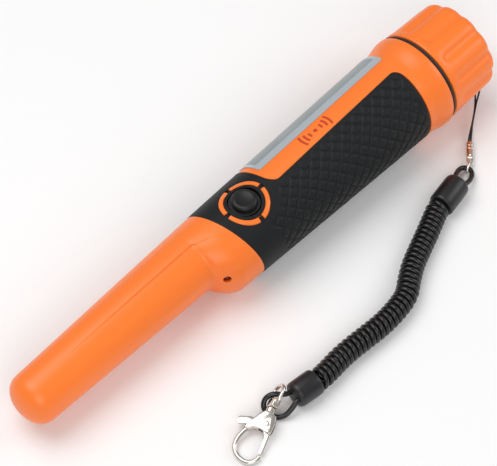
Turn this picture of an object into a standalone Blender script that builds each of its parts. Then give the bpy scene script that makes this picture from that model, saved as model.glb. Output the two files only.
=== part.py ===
"""Pinpointer probe with a coiled lanyard, lying on a flat surface.

World: metres, +Z up, +X along the probe from the sensing tip to the battery cap, button upwards.
Probe frame (the empty probe_axis): x along the axis with 0 at the front face of the neck seal,
and angles counted about the axis from straight up towards -Y.
"""
import math

import bmesh
import bpy
from mathutils import Vector

MM = 0.001
GAP = 0.3 * MM                      # between pieces that touch
FINE_GAP = 0.15 * MM                # between a small part and its seat

# Overall sizes
TIP_LENGTH = 214.5 * MM             # from the neck seal forward to the tip
CAP_LENGTH = 24.7 * MM
SEAL_WIDTH = 1.5 * MM
BODY_RADIUS = 17.15 * MM            # grip zone, at BODY_START
BODY_START = 113.0 * MM             # where the shoulder has reached the body
BODY_FLARE = 0.024                  # radius gained per length towards the cap
COLLAR_RADIUS = 21.0 * MM
COLLAR_LENGTH = 10.0 * MM
COLLAR_LAND = 2.2 * MM              # its straight part, behind the seal
WALL = 2.0 * MM

# Shaft ahead of the shoulder: a thinner tube, set off towards the label side
LABEL_ANGLE = -49.0                 # degrees, middle of the label and of the flush side
SHAFT_RADIUS = 12.7 * MM            # behind
TIP_RADIUS = 10.5 * MM              # where the rounded end starts
SHAFT_OFFSET = 3.9 * MM
TIP_OFFSET = 3.4 * MM
SHOULDER_FRONT = 126.5 * MM
SHOULDER_BACK = 110.5 * MM
ROUND_LENGTH = 8.0 * MM
SPINE_HALF = 54.0                   # degrees, half width of the flatter strip along the shaft
SPINE_RISE = 0.75 * MM

# Rubber grip and the orange window in it
GRIP_DEPTH = 1.6 * MM
GRIP_PROUD = 0.15 * MM
GRIP_FRONT = 109.6 * MM             # on the axis, of its slanted front edge
GRIP_BACK = 12.6 * MM
SLANT_SIDE = 128.0                  # degrees, where the grip's front edge lies furthest back
SLANT_REACH = 4.6 * MM
WINDOW_HALF = 57.0                  # degrees
WINDOW_CORNER = 3.2 * MM
WINDOW_FILLET = 3.5 * MM            # where the window's sides meet the grip's rear edge
WINDOW_FRONT = 81.8 * MM            # on the axis, of the window's slanted front end
LABEL_WIDTH = 17.4 * MM
LABEL_FRONT = 83.5 * MM
LABEL_BACK = 11.5 * MM
LABEL_THICK = 0.25 * MM

# Split between nose and housing, under the grip
SPLIT = 89.0 * MM
SPIGOT_LENGTH = 5.0 * MM
BORE_RADIUS = 14.0 * MM
SPIGOT_BORE = 11.9 * MM

# Power button
BUTTON_X = -98.0 * MM
BUTTON_RADIUS = 5.0 * MM
BUTTON_PROUD = 1.8 * MM
BUTTON_TRAVEL = 0.6 * MM
WELL_RADIUS = 6.7 * MM
FLANGE_RADIUS = 6.2 * MM
STEM_RADIUS = 2.0 * MM
WELL_FLOOR = 14.6 * MM              # height over the probe's axis
BEZEL_INNER = 8.1 * MM
BEZEL_OUTER = 9.9 * MM
BEZEL_SLOT = 2.0 * MM
BEZEL_THICK = 1.15 * MM
BEZEL_SEAT = 0.85 * MM              # its underside below the body's surface

# Neck, thread and cap
NECK_RADIUS = 17.0 * MM
NECK_LENGTH = 11.0 * MM
THREAD_PITCH = 3.0 * MM
THREAD_RISE = 0.8 * MM
THREAD_CLEAR = 0.56 * MM
CAP_RADIUS = 20.6 * MM
CAP_TAPER = 0.6 * MM
LOBES = 12
LOBE_DEPTH = 1.15 * MM
CAP_CAVITY = 16.0 * MM              # depth from the cap's mouth
RECESS_RADIUS = 15.6 * MM
RECESS_DEPTH = 6.0 * MM
BAR_RADIUS = 1.5 * MM
BAR_PLACE = 12.0 * MM               # from the cap's axis
LUG_ANGLE = 142.0                   # degrees, side where the lanyard leaves the cap
NOTCH_WIDTH = 5.4 * MM

# Battery: a 9 V block
BATTERY_LENGTH = 46.4 * MM
BATTERY_WIDTH = 26.2 * MM
BATTERY_THICK = 17.2 * MM
BATTERY_BACK = 7.5 * MM             # behind its rear face the pad starts
BATTERY_CLEAR = 0.45 * MM
BATTERY_CORNER = 2.4 * MM

# Electronics
BOARD_FRONT = 112.0 * MM
BOARD_BACK = 67.0 * MM
BOARD_WIDTH = 18.6 * MM
BOARD_THICK = 1.6 * MM
BOARD_HEIGHT = 4.9 * MM             # underside, over the axis
SWITCH_SIDE = 6.0 * MM
SWITCH_TALL = 3.6 * MM
PLUNGER_RADIUS = 1.6 * MM
PLUNGER_PROUD = 0.9 * MM
MOTOR_RADIUS = 3.0 * MM
MOTOR_LENGTH = 13.0 * MM
MOTOR_X = -101.0 * MM                # front face
MOTOR_HEIGHT = -4.2 * MM
BUZZER_RADIUS = 6.0 * MM
COIL_FRONT = 205.0 * MM
COIL_BACK = 146.0 * MM
ROD_RADIUS = 3.6 * MM
BOBBIN_RADIUS = 4.8 * MM
FLANGE_WIDE = 7.6 * MM
WINDING_RADIUS = 7.0 * MM
COIL_OFFSET = 3.5 * MM
LED_RADIUS = 1.5 * MM
LED_ANGLE = 74.0
LED_X = -121.0 * MM

# Lanyard
CORD_DIAMETER = 2.1 * MM
COIL_DIAMETER = 9.4 * MM
SLEEVE_RADIUS = 5.3 * MM
EYE_HALF = 2.4 * MM                 # half the distance between a loop's legs
STRING_DIAMETER = 0.75 * MM
LINK_WIRE = 0.9 * MM
BAIL_WIRE = 1.5 * MM

# Where the lying probe touches: the collar's lowest point and the grip's front edge
CONTACT_FRONT = GRIP_FRONT - SLANT_REACH * math.cos(math.radians(180 - SLANT_SIDE))
CONTACT_RADIUS = BODY_RADIUS + BODY_FLARE * (BODY_START - CONTACT_FRONT) + GRIP_PROUD
LIE_ANGLE = math.atan((COLLAR_RADIUS - CONTACT_RADIUS) / (CONTACT_FRONT - COLLAR_LAND))
AXIS_HEIGHT = COLLAR_RADIUS * math.cos(LIE_ANGLE) + COLLAR_LAND * math.sin(LIE_ANGLE)
CAP_FRONT = SEAL_WIDTH + GAP
CAP_BACK = CAP_FRONT + CAP_LENGTH
SEAL_X = (TIP_LENGTH * math.cos(LIE_ANGLE) + 0.1 * MM
          - CAP_BACK * math.cos(LIE_ANGLE) - 0.9 * CAP_RADIUS * math.sin(LIE_ANGLE)) / 2


def clear_scene():
    for obj in list(bpy.data.objects):
        bpy.data.objects.remove(obj, do_unlink=True)


clear_scene()
PARTS = bpy.data.collections.new("pinpointer_probe")
CUTTERS = bpy.data.collections.new("cutters")
for collection in (PARTS, CUTTERS):
    bpy.context.scene.collection.children.link(collection)


def make_material(name, colour, roughness, metallic=0.0):
    material = bpy.data.materials.new(name)
    material.use_nodes = True
    shader = material.node_tree.nodes["Principled BSDF"]
    shader.inputs["Base Color"].default_value = (*colour, 1.0)
    shader.inputs["Roughness"].default_value = roughness
    shader.inputs["Metallic"].default_value = metallic
    material.diffuse_color = (*colour, 1.0)
    return material


ORANGE = (1.0, 0.22, 0.03)
BLACK = (0.02, 0.02, 0.022)
STEEL = (0.62, 0.6, 0.58)
COPPER = (0.72, 0.33, 0.16)
GREEN = (0.03, 0.22, 0.1)
GREY = (0.52, 0.56, 0.58)


def finish_object(obj, colour=None, roughness=0.5, metallic=0.0, parent=None, smooth=True):
    """Puts an object in its collection: a part when it has a colour, else a cutter."""
    for collection in list(obj.users_collection):
        collection.objects.unlink(obj)
    obj.hide_render = colour is None
    obj.display_type = "WIRE" if colour is None else "TEXTURED"
    if colour is None:
        CUTTERS.objects.link(obj)
    else:
        PARTS.objects.link(obj)
        obj.data.materials.clear()
        obj.data.materials.append(make_material(obj.name, colour, roughness, metallic))
    if parent is not None:
        obj.parent = parent
    if smooth and obj.type == "MESH" and colour is not None:
        obj.data.shade_smooth()
        obj.data.set_sharp_from_angle(angle=math.radians(35))
    return obj


def add_empty(name, location=(0, 0, 0), rotation=(0, 0, 0), parent=None):
    empty = bpy.data.objects.new(name, None)
    empty.empty_display_size = 5 * MM
    empty.location = location
    empty.rotation_euler = rotation
    empty.parent = parent
    PARTS.objects.link(empty)
    return empty


def mesh_object(name, bm):
    mesh = bpy.data.meshes.new(name)
    bm.to_mesh(mesh)
    bm.free()
    obj = bpy.data.objects.new(name, mesh)
    PARTS.objects.link(obj)
    return obj


def box(name, low, high, parent, colour=None, roughness=0.5, bevel=0.0, metallic=0.0, rotation=(0, 0, 0)):
    """A box from its two corners in the parent's frame, with rounded edges if asked."""
    low, high = Vector(low), Vector(high)
    bm = bmesh.new()
    bmesh.ops.create_cube(bm, size=1.0)
    bmesh.ops.scale(bm, vec=high - low, verts=bm.verts)
    obj = mesh_object(name, bm)
    obj.location = (low + high) / 2
    obj.rotation_euler = rotation
    if bevel:
        rounding = obj.modifiers.new("rounded_edges", "BEVEL")
        rounding.width = bevel
        rounding.segments = 2
    return finish_object(obj, colour, roughness, metallic, parent, smooth=False)


def rod(name, start, end, radius, parent, colour=None, roughness=0.5, metallic=0.0, sides=32, end_radius=None):
    """A cylinder, or a cone, between two points of the parent's frame."""
    start, end = Vector(start), Vector(end)
    bm = bmesh.new()
    bmesh.ops.create_cone(bm, cap_ends=True, segments=sides, radius1=radius,
                          radius2=radius if end_radius is None else end_radius, depth=(end - start).length)
    obj = mesh_object(name, bm)
    obj.location = (start + end) / 2
    obj.rotation_euler = (end - start).to_track_quat("Z", "Y").to_euler()
    return finish_object(obj, colour, roughness, metallic, parent)


def turned(name, profile, parent, colour=None, roughness=0.5, metallic=0.0, steps=48, upright=False,
           location=(0, 0, 0), closed=True):
    """Turns a profile of (place along the axis, radius) points about the parent's x axis.

    The points run down the outer side from the far end, then back up the inner side.
    An upright piece turns about the parent's z axis instead.
    """
    bm = bmesh.new()
    verts = [bm.verts.new((radius, 0, along)) for along, radius in profile]
    for first, second in zip(verts, verts[1:]):
        bm.edges.new((first, second))
    if closed:
        bm.edges.new((verts[-1], verts[0]))
    obj = mesh_object(name, bm)
    obj.location = location
    if not upright:
        obj.rotation_euler = (0, math.pi / 2, 0)
    screw = obj.modifiers.new("turn", "SCREW")
    screw.steps = steps
    screw.render_steps = steps
    screw.use_merge_vertices = True
    screw.merge_threshold = 0.00001
    finish_object(obj, colour, roughness, metallic, parent, smooth=False)
    screw.use_smooth_shade = True
    return obj


def join_rings(name, rings, close_first=False, close_last=False, loop=False):
    """Skins a row of rings, each a list of points that run the same way round."""
    bm = bmesh.new()
    rows = [[bm.verts.new(point) for point in ring] for ring in rings]
    pairs = list(zip(rows, rows[1:]))
    if loop:
        pairs.append((rows[-1], rows[0]))
    for first, second in pairs:
        count = len(first)
        for i in range(count):
            j = (i + 1) % count
            bm.faces.new((first[i], second[i], second[j], first[j]))
    if close_first:
        bm.faces.new(rows[0])
    if close_last:
        bm.faces.new(list(reversed(rows[-1])))
    bmesh.ops.recalc_face_normals(bm, faces=bm.faces)
    return mesh_object(name, bm)


def smooth_points(points, count):
    """Points at even steps on a smooth curve through the given ones."""
    points = [Vector(point) for point in points]
    padded = [2 * points[0] - points[1]] + points + [2 * points[-1] - points[-2]]
    dense = []
    for i in range(len(points) - 1):
        a, b, c, d = padded[i:i + 4]
        for step in range(24):
            t = step / 24
            dense.append(0.5 * (2 * b + (c - a) * t + (2 * a - 5 * b + 4 * c - d) * t ** 2
                                + (3 * b - a - 3 * c + d) * t ** 3))
    dense.append(points[-1])
    lengths = [0.0]
    for first, second in zip(dense, dense[1:]):
        lengths.append(lengths[-1] + (second - first).length)
    result = []
    place = 0
    for i in range(count):
        target = lengths[-1] * i / (count - 1)
        while place < len(lengths) - 2 and lengths[place + 1] < target:
            place += 1
        share = (target - lengths[place]) / (lengths[place + 1] - lengths[place])
        result.append(dense[place].lerp(dense[place + 1], share))
    return result


def tube(name, points, diameter, parent=None, colour=BLACK, roughness=0.45, metallic=0.0, cyclic=False,
         resolution=2):
    """A round bar, wire or cord along the given points."""
    curve = bpy.data.curves.new(name, "CURVE")
    curve.dimensions = "3D"
    curve.bevel_depth = diameter / 2
    curve.bevel_resolution = resolution
    curve.use_fill_caps = not cyclic
    spline = curve.splines.new("POLY")
    spline.points.add(len(points) - 1)
    for target, point in zip(spline.points, points):
        target.co = (*point, 1.0)
    spline.use_cyclic_u = cyclic
    obj = bpy.data.objects.new(name, curve)
    PARTS.objects.link(obj)
    return finish_object(obj, colour, roughness, metallic, parent)


def as_mesh(obj, colour=None, roughness=0.5, metallic=0.0):
    """Turns a curve object into a welded mesh object of the same name and place."""
    bpy.context.view_layer.update()
    evaluated = obj.evaluated_get(bpy.context.evaluated_depsgraph_get())
    mesh = bpy.data.meshes.new_from_object(evaluated)
    bm = bmesh.new()
    bm.from_mesh(mesh)
    bmesh.ops.remove_doubles(bm, verts=bm.verts, dist=0.000001)
    bm.to_mesh(mesh)
    bm.free()
    name, parent, curve = obj.name, obj.parent, obj.data
    place = obj.matrix_basis.copy()
    bpy.data.objects.remove(obj, do_unlink=True)
    bpy.data.curves.remove(curve)
    solid = bpy.data.objects.new(name, mesh)
    solid.matrix_basis = place
    PARTS.objects.link(solid)
    return finish_object(solid, colour, roughness, metallic, parent)


def boolean(obj, other, operation="DIFFERENCE"):
    """Cuts, joins or trims obj with other, which stays only as a cutter."""
    modifier = obj.modifiers.new(other.name, "BOOLEAN")
    modifier.operation = operation
    modifier.solver = "EXACT"
    modifier.object = other
    return obj


def angled(angle, radius, x=0.0):
    """A point of the probe frame: angle about the axis from straight up towards -Y."""
    turn = math.radians(angle)
    return Vector((x, -radius * math.sin(turn), radius * math.cos(turn)))


def smoothstep(low, high, value):
    t = min(max((value - low) / (high - low), 0.0), 1.0)
    return t * t * (3 - 2 * t)


def body_radius(x):
    """Radius of the housing's and the grip's outer surface."""
    return BODY_RADIUS + BODY_FLARE * (x + BODY_START)


PROBE = add_empty("probe_axis", (SEAL_X, 0, AXIS_HEIGHT), (0, -LIE_ANGLE, 0))
LABEL_FRAME = add_empty("label_side", rotation=(math.radians(LABEL_ANGLE), 0, 0), parent=PROBE)


# --- Space for the grip: one cutter serves nose and housing ---------------------------------

def grip_blank(name, inner_depth, outer_rise, front_shift, back_shift, colour=None, roughness=0.5):
    """A sleeve over the body, its front edge slanted, as deep and as proud as asked."""
    front = -(GRIP_FRONT + 2 * SLANT_REACH)
    back = -GRIP_BACK + back_shift
    profile = [
        (back, body_radius(back) + outer_rise),
        (front, body_radius(front) + outer_rise),
        (front, body_radius(front) - inner_depth),
        (back, body_radius(back) - inner_depth),
    ]
    sleeve = turned(name, profile, PROBE, colour, roughness, steps=56)
    tilt = math.atan(SLANT_REACH / BODY_RADIUS)
    reach = 60 * MM
    trim = box(name + "_front_trim", (-reach, -reach, -reach), (0, reach, reach), None)
    holder = add_empty(name + "_slant", (-GRIP_FRONT + front_shift, 0, 0),
                       (math.radians(SLANT_SIDE), 0, 0), PROBE)
    tipped = add_empty(name + "_slant_tip", (0, 0, 0), (0, tilt, 0), holder)
    trim.parent = tipped
    boolean(sleeve, trim)
    return sleeve


def window_block(name, grow):
    """The block over the label side that keeps the grip off the window."""
    radius = body_radius(-WINDOW_FRONT)
    middle = radius * math.sin(math.radians(WINDOW_HALF))
    rear = WINDOW_FRONT - GRIP_BACK - WINDOW_FILLET
    side = []
    for i in range(5):
        turn = math.radians(22.5 * i)
        side.append((WINDOW_CORNER - grow - WINDOW_CORNER * math.cos(turn),
                     middle + grow - WINDOW_CORNER + WINDOW_CORNER * math.sin(turn)))
    for i in range(5):
        turn = math.radians(22.5 * i)
        side.append((rear + (WINDOW_FILLET - grow) * math.sin(turn),
                     middle + WINDOW_FILLET - (WINDOW_FILLET - grow) * math.cos(turn)))
    side.append((WINDOW_FRONT + COLLAR_RADIUS, side[-1][1]))
    low = radius * math.cos(math.radians(WINDOW_HALF)) - 8 * MM
    lean = SLANT_REACH / BODY_RADIUS
    rings = []
    for height in (low, low + 30 * MM):
        outline = side + [(x, -y) for x, y in reversed(side)]
        rings.append([(x - height * lean if x < rear - MM else x, y, height) for x, y in outline])
    obj = join_rings(name, rings, True, True)
    obj.location = (-WINDOW_FRONT, 0, 0)
    return finish_object(obj, parent=LABEL_FRAME)


grip_space = grip_blank("grip_space", GRIP_DEPTH, 4 * MM, -GAP, GAP)
boolean(grip_space, window_block("window_core", -GAP))


# --- Nose: shaft, rounded tip and shoulder --------------------------------------------------

RING_COUNT = 32


def shaft_section(x, inset):
    """One ring of the shaft at x, drawn about the shaft's own centre."""
    share = (x + TIP_LENGTH) / (TIP_LENGTH - SHOULDER_FRONT)
    radius = TIP_RADIUS + (SHAFT_RADIUS - TIP_RADIUS) * share - inset
    offset = TIP_OFFSET + (SHAFT_OFFSET - TIP_OFFSET) * share
    depth = x + TIP_LENGTH - inset
    if depth < ROUND_LENGTH:
        radius *= (1 - (1 - max(depth, 0) / ROUND_LENGTH) ** 2.3) ** (1 / 2.3)
    rise = SPINE_RISE * smoothstep(-TIP_LENGTH + 15 * MM, -TIP_LENGTH + 70 * MM, x)
    points = []
    for i in range(RING_COUNT):
        angle = 360 * i / RING_COUNT
        away = abs((angle + 180) % 360 - 180)
        if away < SPINE_HALF:
            lift = rise * (away / SPINE_HALF) ** 2
        else:
            lift = rise * (1 - smoothstep(SPINE_HALF - 20, 100, away)) / (1 - smoothstep(SPINE_HALF - 20, 100, SPINE_HALF))
        points.append(angled(LABEL_ANGLE, offset, x) + angled(LABEL_ANGLE + angle, radius + lift))
    return points


def round_section(x, radius):
    return [angled(LABEL_ANGLE + 360 * i / RING_COUNT, radius, x) for i in range(RING_COUNT)]


def nose_section(x, inset):
    """Shaft ahead of the shoulder, body behind it, and a soft step between them."""
    share = smoothstep(-SHOULDER_FRONT, -SHOULDER_BACK, x)
    outer = round_section(x, body_radius(x) - inset)
    return [low.lerp(high, share) for low, high in zip(shaft_section(x, inset), outer)]


def steps_between(start, end, count):
    return [start + (end - start) * i / (count - 1) for i in range(count)]


def build_nose():
    seat = -SPLIT - GAP
    spigot = BORE_RADIUS - GAP
    rings = [round_section(-SPLIT + SPIGOT_LENGTH, spigot), round_section(seat, spigot)]
    shoulder = steps_between(-SHOULDER_BACK + 2 * MM, -SHOULDER_FRONT - MM, 8)
    shaft = steps_between(-SHOULDER_FRONT - 12 * MM, -TIP_LENGTH + ROUND_LENGTH, 4)
    dome = [-TIP_LENGTH + ROUND_LENGTH * (1 - math.sin(math.radians(a))) for a in (30, 54, 72, 85)]
    rings += [nose_section(x, 0) for x in [seat] + shoulder + shaft + dome]
    inner_dome = [-TIP_LENGTH + WALL + ROUND_LENGTH * share for share in (0.1, 0.5)]
    inner_shaft = steps_between(-TIP_LENGTH + WALL + ROUND_LENGTH, -SHOULDER_FRONT - 2 * MM, 2)
    inner_shoulder = steps_between(-SHOULDER_FRONT, -SHOULDER_BACK + MM, 5)
    inside = [nose_section(x, WALL) for x in inner_dome + inner_shaft + inner_shoulder]
    inside += [round_section(-SHOULDER_BACK + 4 * MM, BORE_RADIUS), round_section(-SPLIT - 4 * MM, BORE_RADIUS),
               round_section(-SPLIT - 2 * MM, SPIGOT_BORE), round_section(-SPLIT + SPIGOT_LENGTH + 5 * MM, SPIGOT_BORE)]
    hollow = finish_object(join_rings("nose_hollow", inside, True, True), parent=PROBE)
    shell = finish_object(join_rings("nose_shell", rings, True, True), ORANGE, 0.38, parent=PROBE)
    boss = rod("button_boss", (BUTTON_X, 0, WELL_FLOOR - 2 * MM),
               (BUTTON_X, 0, body_radius(BUTTON_X) - GRIP_DEPTH - 0.1 * MM), WELL_RADIUS + 1.2 * MM, PROBE)
    well = rod("button_well", (BUTTON_X, 0, WELL_FLOOR), (BUTTON_X, 0, 30 * MM), WELL_RADIUS, PROBE)
    stem_hole = rod("stem_hole", (BUTTON_X, 0, 5 * MM), (BUTTON_X, 0, 20 * MM), STEM_RADIUS + GAP, PROBE, sides=24)
    boolean(shell, hollow)
    boolean(shell, boss, "UNION")
    boolean(shell, grip_space)
    boolean(shell, well)
    boolean(shell, stem_hole)
    return shell


nose_shell = build_nose()


# --- Housing, with its neck, thread and window ----------------------------------------------

def helix(turns, radius, start, per_turn=20):
    """Points of a right-handed thread about the probe's axis."""
    count = int(turns * per_turn)
    return [angled(360 * i / per_turn, radius, start + THREAD_PITCH * i / per_turn) for i in range(count + 1)]


def build_housing():
    front = -SPLIT
    flare = -COLLAR_LENGTH
    neck_end = CAP_FRONT + NECK_LENGTH
    pocket_front = -BATTERY_BACK - BATTERY_LENGTH - 4 * MM
    profile = [(neck_end, NECK_RADIUS - MM), (neck_end - MM, NECK_RADIUS), (-GAP, NECK_RADIUS),
               (-GAP, COLLAR_RADIUS - 0.5 * MM), (-GAP - 0.5 * MM, COLLAR_RADIUS), (-COLLAR_LAND, COLLAR_RADIUS)]
    for i in range(1, 5):
        share = i / 4
        x = -COLLAR_LAND + (flare + COLLAR_LAND) * share
        profile.append((x, COLLAR_RADIUS + (body_radius(flare) - COLLAR_RADIUS) * smoothstep(0, 1, share)))
    profile += [(front, body_radius(front)), (front, BORE_RADIUS), (pocket_front, BORE_RADIUS),
                (pocket_front, 9 * MM), (neck_end, 9 * MM)]
    shell = turned("main_housing", profile, PROBE, ORANGE, 0.38, steps=44)
    pocket = box("battery_pocket",
                 (pocket_front - 0.5 * MM, -BATTERY_WIDTH / 2 - BATTERY_CLEAR, -BATTERY_THICK / 2 - BATTERY_CLEAR),
                 (neck_end + 9 * MM, BATTERY_WIDTH / 2 + BATTERY_CLEAR, BATTERY_THICK / 2 + BATTERY_CLEAR), PROBE)
    corners = [edge for edge in pocket.data.edges
               if abs(pocket.data.vertices[edge.vertices[0]].co.x - pocket.data.vertices[edge.vertices[1]].co.x) > MM]
    weights = pocket.data.attributes.new("bevel_weight_edge", "FLOAT", "EDGE")
    for edge in corners:
        weights.data[edge.index].value = 1.0
    rounding = pocket.modifiers.new("corners", "BEVEL")
    rounding.limit_method = "WEIGHT"
    rounding.width = BATTERY_CORNER
    rounding.segments = 3
    thread = tube("thread_ridge", helix(2.0, NECK_RADIUS, CAP_FRONT + 2.6 * MM), 2 * THREAD_RISE, PROBE,
                  resolution=0)
    thread = as_mesh(thread)
    boolean(shell, pocket)
    boolean(shell, thread, "UNION")
    boolean(shell, grip_space)
    return shell


def label_blank(name, low, high, grow):
    """A thin curved plate over the window, as long and wide as the label plus grow."""
    front, back = -LABEL_FRONT, -LABEL_BACK
    profile = [(back + grow, body_radius(back) + high), (front - grow, body_radius(front) + high),
               (front - grow, body_radius(front) + low), (back + grow, body_radius(back) + low)]
    plate = turned(name, profile, PROBE, steps=56)
    half = LABEL_WIDTH / 2 + grow
    keep = box(name + "_keep", (front - grow, -half, 5 * MM), (back + grow, half, 30 * MM), LABEL_FRAME)
    boolean(plate, keep, "INTERSECT")
    return plate


main_housing = build_housing()
label_space = label_blank("label_space", -LABEL_THICK - GAP, 4 * MM, FINE_GAP)
boolean(main_housing, label_space)
label_strip = label_blank("label_strip", -LABEL_THICK, 0.05 * MM, 0)
finish_object(label_strip, GREY, 0.35, parent=PROBE, smooth=False)


# --- Rubber grip, button and its bezel ------------------------------------------------------

def build_grip():
    grip = grip_blank("rubber_grip", GRIP_DEPTH - GAP, GRIP_PROUD, 0, 0, BLACK, 0.6)
    boolean(grip, window_block("window_opening", 0))
    boolean(grip, rod("grip_well", (BUTTON_X, 0, 5 * MM), (BUTTON_X, 0, 30 * MM), WELL_RADIUS, PROBE))
    bottom = body_radius(BUTTON_X) - BEZEL_SEAT
    groove = turned("bezel_groove",
                    [(30 * MM, BEZEL_OUTER + FINE_GAP), (-GAP, BEZEL_OUTER + FINE_GAP),
                     (-GAP, BEZEL_INNER - FINE_GAP), (30 * MM, BEZEL_INNER - FINE_GAP)],
                    PROBE, upright=True, location=(BUTTON_X, 0, 0))
    floor = turned("bezel_floor", [(60 * MM, 30 * MM), (-60 * MM, 30 * MM),
                                   (-60 * MM, bottom - GAP - 60 * MM * BODY_FLARE),
                                   (60 * MM, bottom - GAP + 60 * MM * BODY_FLARE)],
                   PROBE, steps=64, location=(BUTTON_X, 0, 0))
    boolean(groove, floor, "INTERSECT")
    boolean(grip, groove)
    bezel = turned("button_bezel", [(30 * MM, BEZEL_OUTER), (0, BEZEL_OUTER), (0, BEZEL_INNER), (30 * MM, BEZEL_INNER)],
                   PROBE, ORANGE, 0.38, upright=True, location=(BUTTON_X, 0, 0))
    top = bottom + BEZEL_THICK
    layer = turned("bezel_layer", [(60 * MM, top + 60 * MM * BODY_FLARE), (-60 * MM, top - 60 * MM * BODY_FLARE),
                                   (-60 * MM, bottom - 60 * MM * BODY_FLARE),
                                   (60 * MM, bottom + 60 * MM * BODY_FLARE)],
                   PROBE, steps=64, location=(BUTTON_X, 0, 0))
    boolean(bezel, layer, "INTERSECT")
    core = rod("bezel_slot_floor", (BUTTON_X - 20 * MM, 0, 0), (BUTTON_X + 20 * MM, 0, 0),
               bottom + BEZEL_THICK / 2, PROBE, sides=64)
    for index, turn in enumerate((0, 90)):
        slot = box(f"bezel_slot_{index + 1}", (-15 * MM, -BEZEL_SLOT / 2, 0), (15 * MM, BEZEL_SLOT / 2, 20 * MM), PROBE,
                   rotation=(0, 0, math.radians(turn)))
        slot.location = (BUTTON_X, 0, 20 * MM)
        boolean(slot, core)
        boolean(bezel, slot)
    return grip


rubber_grip = build_grip()

flange_low = WELL_FLOOR + BUTTON_TRAVEL + 0.4 * MM
button_top = body_radius(BUTTON_X) + BUTTON_PROUD
board_top = BOARD_HEIGHT + BOARD_THICK
plunger_top = board_top + GAP + SWITCH_TALL + PLUNGER_PROUD
BUTTON_FRAME = add_empty("button_press_axis", (BUTTON_X, 0, 0), parent=PROBE)
power_button = turned("power_button", [
    (button_top - 0.15 * MM, 0), (button_top - 0.1 * MM, BUTTON_RADIUS - 1.6 * MM),
    (button_top, BUTTON_RADIUS - 0.9 * MM), (button_top - 0.35 * MM, BUTTON_RADIUS - 0.25 * MM),
    (button_top - 0.9 * MM, BUTTON_RADIUS), (flange_low + MM, BUTTON_RADIUS), (flange_low + MM, FLANGE_RADIUS),
    (flange_low, FLANGE_RADIUS), (flange_low, STEM_RADIUS), (plunger_top + GAP, STEM_RADIUS),
    (plunger_top + GAP, 0)], BUTTON_FRAME, BLACK, 0.15, steps=32, upright=True, closed=False)


# --- Neck seal and battery cap --------------------------------------------------------------

SEAL_RADIUS = max(COLLAR_RADIUS - 0.5 * MM, NECK_RADIUS + GAP + MM)
neck_seal = turned("neck_seal", [
    (SEAL_WIDTH, SEAL_RADIUS - 0.2 * MM), (SEAL_WIDTH / 2, SEAL_RADIUS), (0, SEAL_RADIUS - 0.2 * MM),
    (0, NECK_RADIUS + GAP), (SEAL_WIDTH, NECK_RADIUS + GAP)], PROBE, BLACK, 0.5)


def cap_section(x, inset, lobe_share):
    """One ring of the cap: a circle with a groove between each pair of lobes."""
    radius = CAP_RADIUS - CAP_TAPER * (x - CAP_FRONT) / CAP_LENGTH - inset
    count = LOBES * 6
    points = []
    for i in range(count):
        angle = 360 * i / count
        groove = (0.5 + 0.5 * math.cos(math.radians(angle * LOBES))) ** 2.2
        points.append(angled(angle, radius - LOBE_DEPTH * lobe_share * groove, x))
    return points


def build_cap():
    back = CAP_BACK
    stations = [(CAP_FRONT, 0.5 * MM, 0), (CAP_FRONT + 0.5 * MM, 0, 0), (CAP_FRONT + 2.4 * MM, 0, 0.05),
                (CAP_FRONT + 5.5 * MM, 0, 0.8), (back - 2.6 * MM, 0, 1), (back - MM, 0.6 * MM, 0.95),
                (back, 2.1 * MM, 0.7)]
    cap = join_rings("battery_cap", [cap_section(*station) for station in stations], True, True)
    finish_object(cap, ORANGE, 0.38, parent=PROBE)
    bore = NECK_RADIUS + GAP
    cavity_end = CAP_FRONT + CAP_CAVITY
    cavity = turned("cap_cavity", [(cavity_end, 0), (cavity_end, bore - MM), (cavity_end - MM, bore),
                                   (CAP_FRONT + 1.3 * MM, bore), (CAP_FRONT, bore + 1.3 * MM),
                                   (CAP_FRONT - 5 * MM, bore + 1.3 * MM), (CAP_FRONT - 5 * MM, 0)],
                    PROBE, steps=44, closed=False)
    groove = tube("thread_groove", helix(4.6, NECK_RADIUS, CAP_FRONT - 3.4 * MM),
                  2 * (THREAD_RISE + THREAD_CLEAR), PROBE, resolution=0)
    groove = as_mesh(groove)
    recess = turned("cap_recess", [(back + 5 * MM, 0), (back + 5 * MM, RECESS_RADIUS), (back - RECESS_DEPTH + MM, RECESS_RADIUS),
                                   (back - RECESS_DEPTH, RECESS_RADIUS - MM), (back - RECESS_DEPTH, 0)],
                    PROBE, steps=36, closed=False)
    lug_frame = add_empty("lanyard_side", rotation=(math.radians(LUG_ANGLE), 0, 0), parent=PROBE)
    notch = box("lanyard_notch", (back - RECESS_DEPTH + 0.2 * MM, -NOTCH_WIDTH / 2, RECESS_RADIUS - 2 * MM),
                (back + 5 * MM, NOTCH_WIDTH / 2, CAP_RADIUS + 5 * MM), lug_frame, bevel=0.8 * MM)
    half_bar = math.sqrt(RECESS_RADIUS ** 2 - BAR_PLACE ** 2) + 1.2 * MM
    bar_x = back - RECESS_DEPTH + 2 * MM + BAR_RADIUS
    bar = rod("lanyard_bar", (bar_x, -half_bar, BAR_PLACE), (bar_x, half_bar, BAR_PLACE), BAR_RADIUS, lug_frame, sides=16)
    boolean(cap, cavity)
    boolean(cap, groove)
    boolean(cap, recess)
    boolean(cap, notch)
    boolean(cap, bar, "UNION")
    return cap


battery_cap = build_cap()


# --- Battery and what holds it --------------------------------------------------------------

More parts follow.
